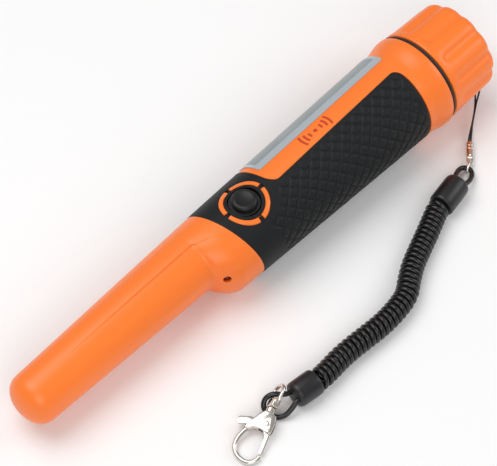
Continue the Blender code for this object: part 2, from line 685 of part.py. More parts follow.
battery_front = -BATTERY_BACK - BATTERY_LENGTH
half_width, half_thick = BATTERY_WIDTH / 2, BATTERY_THICK / 2
battery = box("battery", (battery_front, -half_width, -half_thick), (-BATTERY_BACK, half_width, half_thick), PROBE,
              (0.05, 0.05, 0.06), 0.4, bevel=2.0 * MM)
pad_front = -BATTERY_BACK + GAP
pad_back = CAP_FRONT + CAP_CAVITY - GAP
battery_pad = rod("battery_pad", (pad_back - 7 * MM, 0, 0), (pad_back, 0, 0), 8 * MM, PROBE, (0.12, 0.12, 0.13), 0.9)
spring_turns, spring_wire = 4, 0.9 * MM
spring_start = pad_front + spring_wire / 2
spring_length = pad_back - 7 * MM - GAP - spring_wire - pad_front
spring_path = []
for i in range(spring_turns * 12 + 1):
    share = i / (spring_turns * 12)
    spring_path.append(angled(360 * spring_turns * share, (6.5 - 1.5 * share) * MM, spring_start + spring_length * share))
battery_spring = tube("battery_spring", spring_path, spring_wire, PROBE, STEEL, 0.3, 1.0)
snap = box("battery_snap", (battery_front - 3.2 * MM, -12 * MM, -6.5 * MM), (battery_front - GAP, 12 * MM, 6.5 * MM), PROBE,
           (0.04, 0.04, 0.04), 0.5, bevel=0.6 * MM)


# --- Chassis, board and what is on it -------------------------------------------------------

def build_chassis():
    plate_low, plate_high = 1.4 * MM, 2.6 * MM
    half = 9.3 * MM
    chassis = box("chassis", (-BOARD_FRONT, -half, plate_low), (-BOARD_BACK + 3 * MM, half, plate_high), PROBE,
                  (0.75, 0.75, 0.72), 0.5)
    bulkhead = rod("bulkhead", (-BOARD_BACK + 1.5 * MM, 0, 0), (-BOARD_BACK + 3.5 * MM, 0, 0), BORE_RADIUS - GAP, PROBE, sides=48)
    boolean(chassis, bulkhead, "UNION")
    for index, (x, y) in enumerate(board_corners):
        post = rod(f"post_{index + 1}", (x, y, plate_high - 0.4 * MM), (x, y, BOARD_HEIGHT - GAP), 1.9 * MM, PROBE, sides=20)
        hole = rod(f"post_hole_{index + 1}", (x, y, 0), (x, y, BOARD_HEIGHT + MM), 0.85 * MM, PROBE, sides=16)
        boolean(chassis, post, "UNION")
        boolean(chassis, hole)
    for index, x in enumerate((MOTOR_X + 2 * MM, MOTOR_X + MOTOR_LENGTH - 4 * MM)):
        rib = box(f"motor_rib_{index + 1}", (x, -4.8 * MM, MOTOR_HEIGHT - 0.5 * MM), (x + 2 * MM, 4.8 * MM, plate_low + 0.4 * MM), PROBE)
        boolean(chassis, rib, "UNION")
    seat = rod("motor_seat", (MOTOR_X - 20 * MM, 0, MOTOR_HEIGHT), (MOTOR_X + MOTOR_LENGTH + 5 * MM, 0, MOTOR_HEIGHT),
               MOTOR_RADIUS + FINE_GAP, PROBE)
    boolean(chassis, seat)
    for index, side in enumerate((-1, 1)):
        way = rod(f"wire_way_{index + 1}", (-BOARD_BACK, side * 5 * MM, 7.8 * MM),
                  (-BOARD_BACK + 6 * MM, side * 5 * MM, 7.8 * MM), 1.5 * MM, PROBE, sides=16)
        boolean(chassis, way)
    return chassis


half_board = BOARD_WIDTH / 2
board_corners = [(x, y) for x in (-BOARD_FRONT + 4 * MM, -BOARD_BACK - 3 * MM) for y in (-6.6 * MM, 6.6 * MM)]
chassis = build_chassis()
circuit_board = box("circuit_board", (-BOARD_FRONT, -half_board, BOARD_HEIGHT),
                    (-BOARD_BACK, half_board, board_top), PROBE, GREEN, 0.4)
for index, (x, y) in enumerate(board_corners):
    hole = rod(f"board_hole_{index + 1}", (x, y, 0), (x, y, board_top + 5 * MM), 1.1 * MM, PROBE, sides=16)
    boolean(circuit_board, hole)
    turned(f"board_screw_{index + 1}", [
        (board_top + GAP + 1.2 * MM, 0), (board_top + GAP + 1.2 * MM, 1.4 * MM), (board_top + GAP + 0.8 * MM, 1.8 * MM),
        (board_top + GAP, 1.8 * MM), (board_top + GAP, 0.75 * MM), (0.9 * MM, 0.75 * MM), (0.5 * MM, 0)],
        PROBE, STEEL, 0.3, 1.0, steps=16, upright=True, location=(x, y, 0), closed=False)

switch_low = board_top + GAP
half_switch = SWITCH_SIDE / 2
switch_body = box("switch_body", (BUTTON_X - half_switch, -half_switch, switch_low),
                  (BUTTON_X + half_switch, half_switch, switch_low + SWITCH_TALL), PROBE, (0.05, 0.05, 0.05), 0.5)
boolean(switch_body, rod("switch_bore", (BUTTON_X, 0, switch_low + 0.6 * MM), (BUTTON_X, 0, switch_low + 9 * MM),
                         PLUNGER_RADIUS + GAP, PROBE, sides=24))
switch_plunger = rod("switch_plunger", (0, 0, switch_low + 0.6 * MM + BUTTON_TRAVEL + GAP), (0, 0, plunger_top),
                     PLUNGER_RADIUS, BUTTON_FRAME, (0.75, 0.73, 0.68), 0.5, sides=24)
control_chip = box("control_chip", (-80 * MM, -3.5 * MM, switch_low), (-73 * MM, 3.5 * MM, switch_low + 1.6 * MM), PROBE,
                   (0.03, 0.03, 0.03), 0.4)
trim_pot = box("sensitivity_trimmer", (-90 * MM, -2.5 * MM, switch_low), (-85 * MM, 2.5 * MM, switch_low + 3.6 * MM), PROBE,
               (0.03, 0.12, 0.4), 0.4)
buzzer = rod("buzzer", (-75 * MM, 0, -8 * MM), (-75 * MM, 0, 1.1 * MM), BUZZER_RADIUS, PROBE, (0.04, 0.04, 0.04), 0.5)

MOTOR_FRAME = add_empty("motor_axis", (MOTOR_X, 0, MOTOR_HEIGHT), parent=PROBE)
vibration_motor = turned("vibration_motor", [
    (MOTOR_LENGTH, 0), (MOTOR_LENGTH, MOTOR_RADIUS), (0, MOTOR_RADIUS), (0, 0.8 * MM), (9 * MM, 0.8 * MM),
    (9 * MM, 0)], MOTOR_FRAME, STEEL, 0.35, 1.0, steps=32, closed=False)
motor_shaft = rod("motor_shaft", (-5.2 * MM, 0, 0), (8 * MM, 0, 0), 0.5 * MM, MOTOR_FRAME, STEEL, 0.3, 1.0, sides=16)
motor_weight = rod("motor_weight", (-4.8 * MM, 0, 0), (-0.8 * MM, 0, 0), 2.7 * MM, MOTOR_FRAME, (0.45, 0.45, 0.44), 0.35, 1.0)
boolean(motor_weight, box("weight_flat", (-10 * MM, -5 * MM, 0.6 * MM + FINE_GAP), (5 * MM, 5 * MM, 5 * MM), MOTOR_FRAME))
boolean(motor_weight, rod("weight_bore", (-10 * MM, 0, 0), (5 * MM, 0, 0), 0.5 * MM + FINE_GAP, MOTOR_FRAME, sides=16))


# --- Sensing coils in the shaft -------------------------------------------------------------

centre = angled(LABEL_ANGLE, COIL_OFFSET)
COIL_FRAME = add_empty("coil_axis", centre, parent=PROBE)
middle = (-COIL_FRONT - COIL_BACK) / 2
flange = 1.2 * MM
ferrite_rod = rod("ferrite_rod", (-COIL_FRONT + MM, 0, 0), (-COIL_BACK + MM, 0, 0), ROD_RADIUS, COIL_FRAME,
                  (0.09, 0.085, 0.085), 0.6)
bobbin_profile = [(-COIL_BACK, FLANGE_WIDE), (-COIL_BACK - flange, FLANGE_WIDE), (-COIL_BACK - flange, BOBBIN_RADIUS),
                  (middle + flange, BOBBIN_RADIUS), (middle + flange, FLANGE_WIDE), (middle - flange, FLANGE_WIDE),
                  (middle - flange, BOBBIN_RADIUS), (-COIL_FRONT + flange, BOBBIN_RADIUS),
                  (-COIL_FRONT + flange, FLANGE_WIDE), (-COIL_FRONT, FLANGE_WIDE),
                  (-COIL_FRONT, ROD_RADIUS + GAP), (-COIL_BACK, ROD_RADIUS + GAP)]
coil_bobbin = turned("coil_bobbin", bobbin_profile, COIL_FRAME, (0.8, 0.78, 0.7), 0.5, steps=28)
for name, back, front in (("receive_winding", -COIL_BACK - flange, middle + flange),
                          ("transmit_winding", middle - flange, -COIL_FRONT + flange)):
    turned(name, [(back - GAP, WINDING_RADIUS), (front + GAP, WINDING_RADIUS),
                  (front + GAP, BOBBIN_RADIUS + GAP), (back - GAP, BOBBIN_RADIUS + GAP)],
           COIL_FRAME, COPPER, 0.35, 1.0, steps=28)
for index, side in enumerate((-1, 1)):
    route = [Vector((-COIL_BACK + GAP, side * 2 * MM, 6.2 * MM)) + centre, Vector((-135 * MM, side * 3 * MM, 5 * MM)) + centre,
             (-122 * MM, side * 5 * MM, 7.5 * MM), (-BOARD_FRONT - GAP, side * 6 * MM, BOARD_HEIGHT + 0.8 * MM)]
    tube(f"coil_lead_{index + 1}", smooth_points(route, 14), 0.9 * MM, PROBE, (0.5, 0.03, 0.02) if side > 0 else BLACK, 0.5)
    wire = [(-BOARD_BACK - 1.5 * MM, side * 5 * MM, board_top + 0.8 * MM), (-BOARD_BACK + 2.5 * MM, side * 5 * MM, 7.8 * MM),
            (-BOARD_BACK + 5 * MM, side * 5 * MM, 7.2 * MM), (battery_front - 3.2 * MM - GAP, side * 5 * MM, 5 * MM)]
    tube(f"battery_lead_{index + 1}", smooth_points(wire, 12), 0.9 * MM, PROBE, (0.5, 0.03, 0.02) if side > 0 else BLACK, 0.5)

led_seat = angled(LED_ANGLE, 13.2 * MM, LED_X)
led_out = (angled(LED_ANGLE, 1.0) - Vector((0.75, 0, 0))).normalized()
boolean(nose_shell, rod("led_hole", led_seat - led_out * 6 * MM, led_seat + led_out * 9 * MM, LED_RADIUS + FINE_GAP, PROBE, sides=24))
indicator_led = rod("indicator_led", led_seat - led_out * 3.2 * MM, led_seat + led_out * 0.5 * MM, LED_RADIUS, PROBE,
                    (0.35, 0.02, 0.02), 0.2, sides=24)


# --- Lanyard: string loop, ferrule, link, coil, sleeves and snap hook -----------------------

def world(x, y, z):
    """A lanyard point, measured from under the neck seal's front face."""
    return Vector((SEAL_X + x * MM, y * MM, z * MM))


def from_cap(angle, radius, x):
    """The same frame's point for a place on the cap."""
    bpy.context.view_layer.update()
    return PROBE.matrix_world @ angled(angle, radius, x)


ferrule_top = world(2.9, -28.1, 2.2)
ferrule_end = world(-2.4, -32.8, 2.2)
ferrule_way = (ferrule_end - ferrule_top).normalized()
ferrule_side = Vector((-ferrule_way.y, ferrule_way.x, 0))
bar_x = CAP_BACK - RECESS_DEPTH + 2 * MM + BAR_RADIUS
bend = BAR_RADIUS + STRING_DIAMETER / 2 + FINE_GAP
strand = 0.42 * MM                  # half the distance between the string's two strands
string_route = [
    ferrule_top + ferrule_way * 2.5 * MM + ferrule_side * strand,
    ferrule_top - ferrule_way * 2 * MM + ferrule_side * strand,
    world(11.5, -22.0, 2.6),
    world(17.4, -18.0, 3.5),
    from_cap(LUG_ANGLE, CAP_RADIUS + 0.6 * MM, bar_x - bend + 0.2 * MM),
    from_cap(LUG_ANGLE, BAR_PLACE + 3.5 * MM, bar_x - bend),
    from_cap(LUG_ANGLE, BAR_PLACE, bar_x - bend),
    from_cap(LUG_ANGLE, BAR_PLACE - 0.75 * bend, bar_x - 0.72 * bend),
    from_cap(LUG_ANGLE, BAR_PLACE - bend - 0.1 * MM, bar_x),
    from_cap(LUG_ANGLE, BAR_PLACE - 0.75 * bend, bar_x + 0.72 * bend),
    from_cap(LUG_ANGLE, BAR_PLACE, bar_x + bend),
    from_cap(LUG_ANGLE, BAR_PLACE + 4 * MM, bar_x + bend - 0.3 * MM),
    from_cap(LUG_ANGLE, CAP_RADIUS + 0.6 * MM, bar_x + 1.4 * MM),
    world(18.8, -17.4, 4.3),
    world(11.5, -22.0, 3.5),
    ferrule_top - ferrule_way * 2 * MM - ferrule_side * strand,
    ferrule_top + ferrule_way * 2.5 * MM - ferrule_side * strand,
]
loop_string = tube("loop_string", smooth_points(string_route, 48), STRING_DIAMETER, None, BLACK, 0.6)


def build_ferrule():
    ferrule = rod("string_ferrule", ferrule_top, ferrule_end, 1.7 * MM, None, STEEL, 0.3, 1.0, sides=24)
    bore = rod("ferrule_bore", ferrule_top - ferrule_way * 3 * MM, ferrule_top + ferrule_way * 4 * MM, 1.4 * MM, None, sides=20)
    turn = math.atan2(ferrule_way.y, ferrule_way.x)
    tab = box("ferrule_tab", (0, 0, 0), (4.6 * MM, 2.8 * MM, 1.1 * MM), None, bevel=0.3 * MM, rotation=(0, 0, turn))
    tab.location = ferrule_end + ferrule_way * 1.4 * MM
    eye = ferrule_end + ferrule_way * 2.1 * MM
    hole = rod("ferrule_eye", eye - Vector((0, 0, 3 * MM)), eye + Vector((0, 0, 3 * MM)), 0.85 * MM, None, sides=16)
    boolean(ferrule, bore)
    boolean(ferrule, tab, "UNION")
    boolean(ferrule, hole)
    return ferrule


string_ferrule = build_ferrule()

link_start = ferrule_end + ferrule_way * 2.1 * MM
link_way = (world(-9.4, -37.2, 0) - Vector((link_start.x, link_start.y, 0))) / 2
link_points = []
for i in range(24):
    angle = 2 * math.pi * i / 24
    link_points.append(link_start + link_way * (1 - math.cos(angle)) + Vector((0, 0, (0.3 + 1.95 * math.sin(angle)) * MM)))
jump_link = tube("jump_link", link_points, LINK_WIRE, None, STEEL, 0.3, 1.0, cyclic=True)

upper_sleeve_ends = (world(-17.2, -39.3, 5.4), world(-30.6, -41.8, 5.4))
lower_sleeve_ends = (world(-124.2, -62.4, 5.4), world(-134.9, -61.2, 5.4))
coil_route = [(-31.4, -41.95, 5.4), (-33.8, -42.5, 5.2), (-38.4, -44.4, 4.9), (-45.6, -47.4, 4.9), (-52.7, -50.2, 4.9), (-59.6, -53.2, 4.9),
              (-65.4, -56.6, 4.9), (-70.5, -59.9, 4.9), (-75.5, -61.5, 4.9), (-82.6, -62.5, 4.9), (-89.6, -62.7, 4.9),
              (-96.4, -62.3, 4.9), (-103.1, -61.9, 4.9), (-109.8, -61.8, 4.9), (-116.8, -62.4, 5.0),
              (-121.3, -62.7, 5.2), (-123.6, -62.5, 5.4)]
cord_coil = tube("cord_coil", smooth_points([world(*point) for point in coil_route], 44), COIL_DIAMETER, None,
                 BLACK, 0.3, resolution=3)
for name, ends in (("upper_sleeve", upper_sleeve_ends), ("lower_sleeve", lower_sleeve_ends)):
    sleeve = rod(name, ends[0], ends[1], SLEEVE_RADIUS, None, BLACK, 0.4, sides=28)
    edge = sleeve.modifiers.new("rounded_ends", "BEVEL")
    edge.width = 0.7 * MM
    edge.segments = 2
    edge.limit_method = "ANGLE"
    edge.angle_limit = math.radians(60)

upper_eye_route = [(-14.4, -35.6, 4.7), (-11.4, -34.3, 3.4), (-8.6, -34.3, 2.6), (-7.1, -36.6, 2.5), (-8.3, -39.0, 2.6),
                   (-11.4, -40.7, 3.4), (-14.4, -41.4, 4.6)]
lower_eye_route = [(-137.6, -57.4, 5.6), (-140.2, -54.8, 5.7), (-142.9, -53.8, 4.2), (-145.0, -55.2, 2.3),
                   (-145.2, -58.3, 1.25), (-144.1, -61.2, 1.25), (-142.0, -63.1, 2.1), (-139.0, -63.7, 3.8)]


def eye(name, sleeve_end, sleeve_start, route, count):
    """The cord's loop outside a sleeve: both legs meet the sleeve's end face."""
    way = (sleeve_end - sleeve_start).normalized()
    side = Vector((-way.y, way.x, 0)) * EYE_HALF
    first, last = Vector(world(*route[0])), Vector(world(*route[-1]))
    if (first - last).dot(side) < 0:
        side = -side
    points = [sleeve_end + way * 2.5 * GAP + side] + [world(*point) for point in route]
    points.append(sleeve_end + way * 2.5 * GAP - side)
    return tube(name, smooth_points(points, count), CORD_DIAMETER, None, BLACK, 0.3)


upper_eye = eye("upper_cord_eye", *upper_sleeve_ends, upper_eye_route, 26)
lower_eye = eye("lower_cord_eye", *reversed(lower_sleeve_ends), lower_eye_route, 30)

# Snap hook frame: x along the hook away from its swivel, y to its side, z off the table
HOOK_TURN = math.radians(-157.9)
HOOK_HEIGHT = 5.2 * MM
HOOK_REACH = 25.0 * MM              # from the swivel to the far end of the hook
HOOK_DIP = math.asin((HOOK_HEIGHT - 1.06 * MM) / HOOK_REACH)
HOOK = add_empty("hook_frame", world(-142.7, -57.95, HOOK_HEIGHT / MM), (0, HOOK_DIP, HOOK_TURN))
BAIL = add_empty("bail_frame", (0, 0, 0), (math.radians(52), 0, 0), HOOK)


def build_bail():
    block = box("swivel_bail", (-1.9 * MM, -2.2 * MM, -1.5 * MM), (1.5 * MM, 2.2 * MM, 1.5 * MM), BAIL, STEEL, 0.3,
                bevel=0.3 * MM, metallic=1.0)
    arch_route = [(-0.9, 1.9, 0), (-2.2, 2.9, 0), (-4.6, 3.3, 0), (-7.0, 2.5, 0), (-8.2, 0, 0), (-7.0, -2.5, 0),
                  (-4.6, -3.3, 0), (-2.2, -2.9, 0), (-0.9, -1.9, 0)]
    arch = tube("bail_arch", smooth_points([Vector(point) * MM for point in arch_route], 30), BAIL_WIRE, BAIL, resolution=1)
    arch = as_mesh(arch)
    boolean(block, arch, "UNION")
    boolean(block, rod("bail_bore", (-5 * MM, 0, 0), (5 * MM, 0, 0), 0.75 * MM + FINE_GAP, BAIL, sides=16))
    return block


swivel_bail = build_bail()
swivel_pin = turned("swivel_pin", [
    (4.9 * MM, 0), (4.9 * MM, 1.1 * MM), (3.9 * MM, 1.1 * MM), (3.9 * MM, 0.75 * MM), (-2.1 * MM, 0.75 * MM),
    (-2.1 * MM, 1.05 * MM), (-2.5 * MM, 0.9 * MM), (-2.6 * MM, 0)], BAIL, STEEL, 0.3, 1.0, steps=16, closed=False)


def build_hook():
    half = 1.6 * MM
    outline = [(2.0, -1.6), (2.0, 1.6), (4.2, 1.7), (4.7, 3.3), (11.8, 3.6), (12.4, 2.9), (11.9, 1.4), (11.2, -1.0),
               (11.5, -3.4), (13.0, -5.2), (12.4, -6.6), (11.4, -6.4), (4.7, -2.9), (4.2, -1.7)]
    bm = bmesh.new()
    low = [bm.verts.new((x * MM, y * MM, -half)) for x, y in outline]
    face = bm.faces.new(low)
    moved = bmesh.ops.extrude_face_region(bm, geom=[face])
    bmesh.ops.translate(bm, vec=(0, 0, 2 * half), verts=[v for v in moved["geom"] if isinstance(v, bmesh.types.BMVert)])
    bmesh.ops.recalc_face_normals(bm, faces=bm.faces)
    body = mesh_object("hook_body", bm)
    finish_object(body, STEEL, 0.28, 1.0, HOOK, smooth=False)
    arm_route = [(11.8, -5.2, 0), (13.9, -6.4, 0), (17.2, -7.5, 0), (20.7, -7.4, 0), (23.5, -5.5, 0), (25.0, -2.4, 0),
                 (24.8, 0.3, 0), (23.1, 2.2, 0), (21.1, 2.9, 0)]
    arm = tube("hook_arm", smooth_points([Vector(point) * MM for point in arm_route], 22), 2.0 * MM, HOOK)
    arm = as_mesh(arm)
    boolean(body, box("gate_slot", (6.2 * MM, -12 * MM, -0.85 * MM), (11.3 * MM, 12 * MM, 0.85 * MM), HOOK))
    boolean(body, box("lever_way", (5.7 * MM, -12 * MM, -0.85 * MM), (8 * MM, -0.55 * MM, 0.85 * MM), HOOK))
    boolean(body, box("lever_reach", (4.9 * MM, -12 * MM, -0.85 * MM), (8 * MM, -1.75 * MM, 0.85 * MM), HOOK))
    boolean(body, box("gate_way", (6.2 * MM, -1.5 * MM, -0.85 * MM), (16 * MM, 12 * MM, 0.85 * MM), HOOK))
    boolean(body, arm, "UNION")
    boolean(body, rod("pin_hole", (0, 0, 0), (4.2 * MM, 0, 0), 0.75 * MM + FINE_GAP, HOOK, sides=16))
    boolean(body, rod("pin_room", (3.6 * MM, 0, 0), (5.4 * MM, 0, 0), 1.35 * MM, HOOK, sides=16))
    boolean(body, rod("rivet_hole", (8.8 * MM, 0.9 * MM, -5 * MM), (8.8 * MM, 0.9 * MM, 5 * MM), 0.7 * MM + FINE_GAP, HOOK, sides=16))
    return body


hook_body = build_hook()
GATE = add_empty("gate_axis", (8.8 * MM, 0.9 * MM, 0), parent=HOOK)


def build_gate():
    half = 0.6 * MM
    outline = [(-1.6, -1.5), (-1.6, 1.0), (0, 1.7), (3.2, 2.5), (11.8, 2.7), (11.9, 1.4), (11.4, 1.0), (4.6, 0.9), (2.0, -1.0), (1.4, -2.6),
               (2.2, -8.0), (3.0, -10.4), (1.6, -11.6), (0.0, -11.0), (-1.2, -7.0)]
    bm = bmesh.new()
    face = bm.faces.new([bm.verts.new((x * MM, y * MM, -half)) for x, y in outline])
    moved = bmesh.ops.extrude_face_region(bm, geom=[face])
    bmesh.ops.translate(bm, vec=(0, 0, 2 * half), verts=[v for v in moved["geom"] if isinstance(v, bmesh.types.BMVert)])
    bmesh.ops.recalc_face_normals(bm, faces=bm.faces)
    gate = mesh_object("hook_gate", bm)
    finish_object(gate, STEEL, 0.28, 1.0, GATE, smooth=False)
    boolean(gate, rod("gate_bore", (0, 0, -5 * MM), (0, 0, 5 * MM), 0.7 * MM + FINE_GAP, GATE, sides=16))
    return gate


hook_gate = build_gate()
gate_rivet = turned("gate_rivet", [(2.1 * MM, 0), (2.1 * MM, 0.9 * MM), (1.9 * MM, 1.1 * MM), (1.6 * MM + FINE_GAP, 1.1 * MM),
                                   (1.6 * MM + FINE_GAP, 0.7 * MM), (-1.6 * MM - FINE_GAP, 0.7 * MM),
                                   (-1.6 * MM - FINE_GAP, 1.1 * MM), (-1.9 * MM, 1.1 * MM), (-2.1 * MM, 0.9 * MM), (-2.1 * MM, 0)],
                    GATE, STEEL, 0.3, 1.0, steps=16, upright=True, closed=False)
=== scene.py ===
import math

import bmesh
import bpy
from mathutils import Matrix, Vector


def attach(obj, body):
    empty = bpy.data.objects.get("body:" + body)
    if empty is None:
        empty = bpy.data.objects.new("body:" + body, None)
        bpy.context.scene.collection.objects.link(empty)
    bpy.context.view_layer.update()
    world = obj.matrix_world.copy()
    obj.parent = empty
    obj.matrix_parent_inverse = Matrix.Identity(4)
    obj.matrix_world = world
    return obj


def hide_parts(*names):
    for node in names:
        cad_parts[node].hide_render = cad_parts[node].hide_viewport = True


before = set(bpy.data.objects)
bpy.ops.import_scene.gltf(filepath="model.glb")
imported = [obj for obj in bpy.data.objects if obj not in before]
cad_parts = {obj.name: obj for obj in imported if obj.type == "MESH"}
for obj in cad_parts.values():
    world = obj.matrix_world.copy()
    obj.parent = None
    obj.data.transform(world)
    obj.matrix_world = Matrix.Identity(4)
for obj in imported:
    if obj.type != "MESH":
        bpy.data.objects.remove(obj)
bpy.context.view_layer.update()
mm = 0.001
mergeGap = 0.002 * mm

# the probe's own axis: x runs along it from the seal, and angles turn from straight up towards -Y
probe = {"sealX": 93.681, "height": 21.063, "leanDeg": 1.94464}
probeMatrix = (Matrix.Translation(Vector((probe["sealX"], 0, probe["height"])) * mm)
               @ Matrix.Rotation(math.radians(-probe["leanDeg"]), 4, "Y"))
worldMatrix = Matrix.Translation((probe["sealX"] * mm, 0, 0))


# camera, light and floor
view = {"target": (-0.006526, -0.00385, 0.020), "azimuthDeg": -45.925, "elevationDeg": 54.181,
        "distance": 0.990, "lens": 186.64}


def buildView():
    azimuth, elevation = math.radians(view["azimuthDeg"]), math.radians(view["elevationDeg"])
    back = Vector((math.sin(azimuth) * math.cos(elevation), -math.cos(azimuth) * math.cos(elevation),
                   math.sin(elevation)))
    lens = bpy.data.cameras.new("productCamera")
    lens.sensor_width = 36
    lens.lens = view["lens"]
    camera = bpy.data.objects.new("productCamera", lens)
    camera.matrix_world = (Matrix.Translation(Vector(view["target"]) + back * view["distance"])
                           @ back.to_track_quat("Z", "Y").to_matrix().to_4x4())
    bpy.context.scene.collection.objects.link(camera)
    bpy.context.scene.camera = camera


lights = {
    "topSoftbox": {"at": (-0.15, 0.25, 0.75), "size": 0.7, "power": 3.6},
    "frontSoftbox": {"at": (-0.45, -0.55, 0.55), "size": 0.6, "power": 2.2},
    "sideSoftbox": {"at": (0.6, -0.35, 0.45), "size": 0.5, "power": 1.5},
}
surroundings = {"strength": 0.36, "floorColour": (0.93, 0.93, 0.93)}


def buildLight():
    for name, light in lights.items():
        lamp = bpy.data.lights.new(name, "AREA")
        lamp.shape = "DISK"
        lamp.size = light["size"]
        lamp.energy = light["power"]
        stand = bpy.data.objects.new(name, lamp)
        at = Vector(light["at"])
        stand.matrix_world = Matrix.Translation(at) @ at.to_track_quat("Z", "Y").to_matrix().to_4x4()
        bpy.context.scene.collection.objects.link(stand)
    world = bpy.data.worlds.new("studio")
    world.use_nodes = True
    background = world.node_tree.nodes["Background"]
    background.inputs["Color"].default_value = (1, 1, 1, 1)
    background.inputs["Strength"].default_value = surroundings["strength"]
    bpy.context.scene.world = world
    bpy.context.scene.view_settings.view_transform = "Standard"
    bm = bmesh.new()
    bmesh.ops.create_grid(bm, x_segments=1, y_segments=1, size=3)
    mesh = bpy.data.meshes.new("studioFloor")
    bm.to_mesh(mesh)
    bm.free()
    floor = bpy.data.objects.new("studioFloor", mesh)
    bpy.context.scene.collection.objects.link(floor)
    paper = bpy.data.materials.new("paleFloor")
    paper.use_nodes = True
    shader = paper.node_tree.nodes["Principled BSDF"]
    shader.inputs["Base Color"].default_value = (*surroundings["floorColour"], 1)
    shader.inputs["Roughness"].default_value = 0.9
    mesh.materials.append(paper)


buildView()
buildLight()
print("camera, light and floor are in place")


# one grain group serves every finish
def makeGrainGroup():
    group = bpy.data.node_groups.new("surfaceGrain", "ShaderNodeTree")
    face = group.interface
    for name, kind, value in (("Vector", "NodeSocketVector", None),
                              ("Colour", "NodeSocketColor", (1, 1, 1, 1)),
                              ("Scale", "NodeSocketFloat", 800.0), ("Depth", "NodeSocketFloat", 0.1),
                              ("Tint", "NodeSocketFloat", 0.06), ("Rough", "NodeSocketFloat", 0.4),
                              ("Spread", "NodeSocketFloat", 0.05)):
        socket = face.new_socket(name=name, in_out="INPUT", socket_type=kind)
        if value is not None:
            socket.default_value = value
    for name, kind in (("Colour", "NodeSocketColor"), ("Roughness", "NodeSocketFloat"),
                       ("Normal", "NodeSocketVector")):
        face.new_socket(name=name, in_out="OUTPUT", socket_type=kind)
    nodes, links = group.nodes, group.links
    given, result = nodes.new("NodeGroupInput"), nodes.new("NodeGroupOutput")
    broad = nodes.new("ShaderNodeTexNoise")
    broad.inputs["Scale"].default_value = 60
    broad.inputs["Detail"].default_value = 4
    fine = nodes.new("ShaderNodeTexNoise")
    fine.inputs["Detail"].default_value = 3
    links.new(given.outputs["Vector"], broad.inputs["Vector"])
    links.new(given.outputs["Vector"], fine.inputs["Vector"])
    links.new(given.outputs["Scale"], fine.inputs["Scale"])
    centred = nodes.new("ShaderNodeMath")
    centred.operation = "SUBTRACT"
    centred.inputs[1].default_value = 0.5
    links.new(broad.outputs["Fac"], centred.inputs[0])
    shade = nodes.new("ShaderNodeMath")
    shade.operation = "MULTIPLY_ADD"
    shade.inputs[2].default_value = 1.0
    links.new(centred.outputs[0], shade.inputs[0])
    links.new(given.outputs["Tint"], shade.inputs[1])
    tinted = nodes.new("ShaderNodeVectorMath")
    tinted.operation = "SCALE"
    links.new(given.outputs["Colour"], tinted.inputs[0])
    links.new(shade.outputs[0], tinted.inputs["Scale"])
    links.new(tinted.outputs[0], result.inputs["Colour"])
    fineCentred = nodes.new("ShaderNodeMath")
    fineCentred.operation = "SUBTRACT"
    fineCentred.inputs[1].default_value = 0.5
    links.new(fine.outputs["Fac"], fineCentred.inputs[0])
    rough = nodes.new("ShaderNodeMath")
    rough.operation = "MULTIPLY_ADD"
    links.new(fineCentred.outputs[0], rough.inputs[0])
    links.new(given.outputs["Spread"], rough.inputs[1])
    links.new(given.outputs["Rough"], rough.inputs[2])
    links.new(rough.outputs[0], result.inputs["Roughness"])
    bump = nodes.new("ShaderNodeBump")
    bump.inputs["Distance"].default_value = 0.0002
    links.new(given.outputs["Depth"], bump.inputs["Strength"])
    links.new(fine.outputs["Fac"], bump.inputs["Height"])
    links.new(bump.outputs["Normal"], result.inputs["Normal"])
    return group


grainGroup = makeGrainGroup()

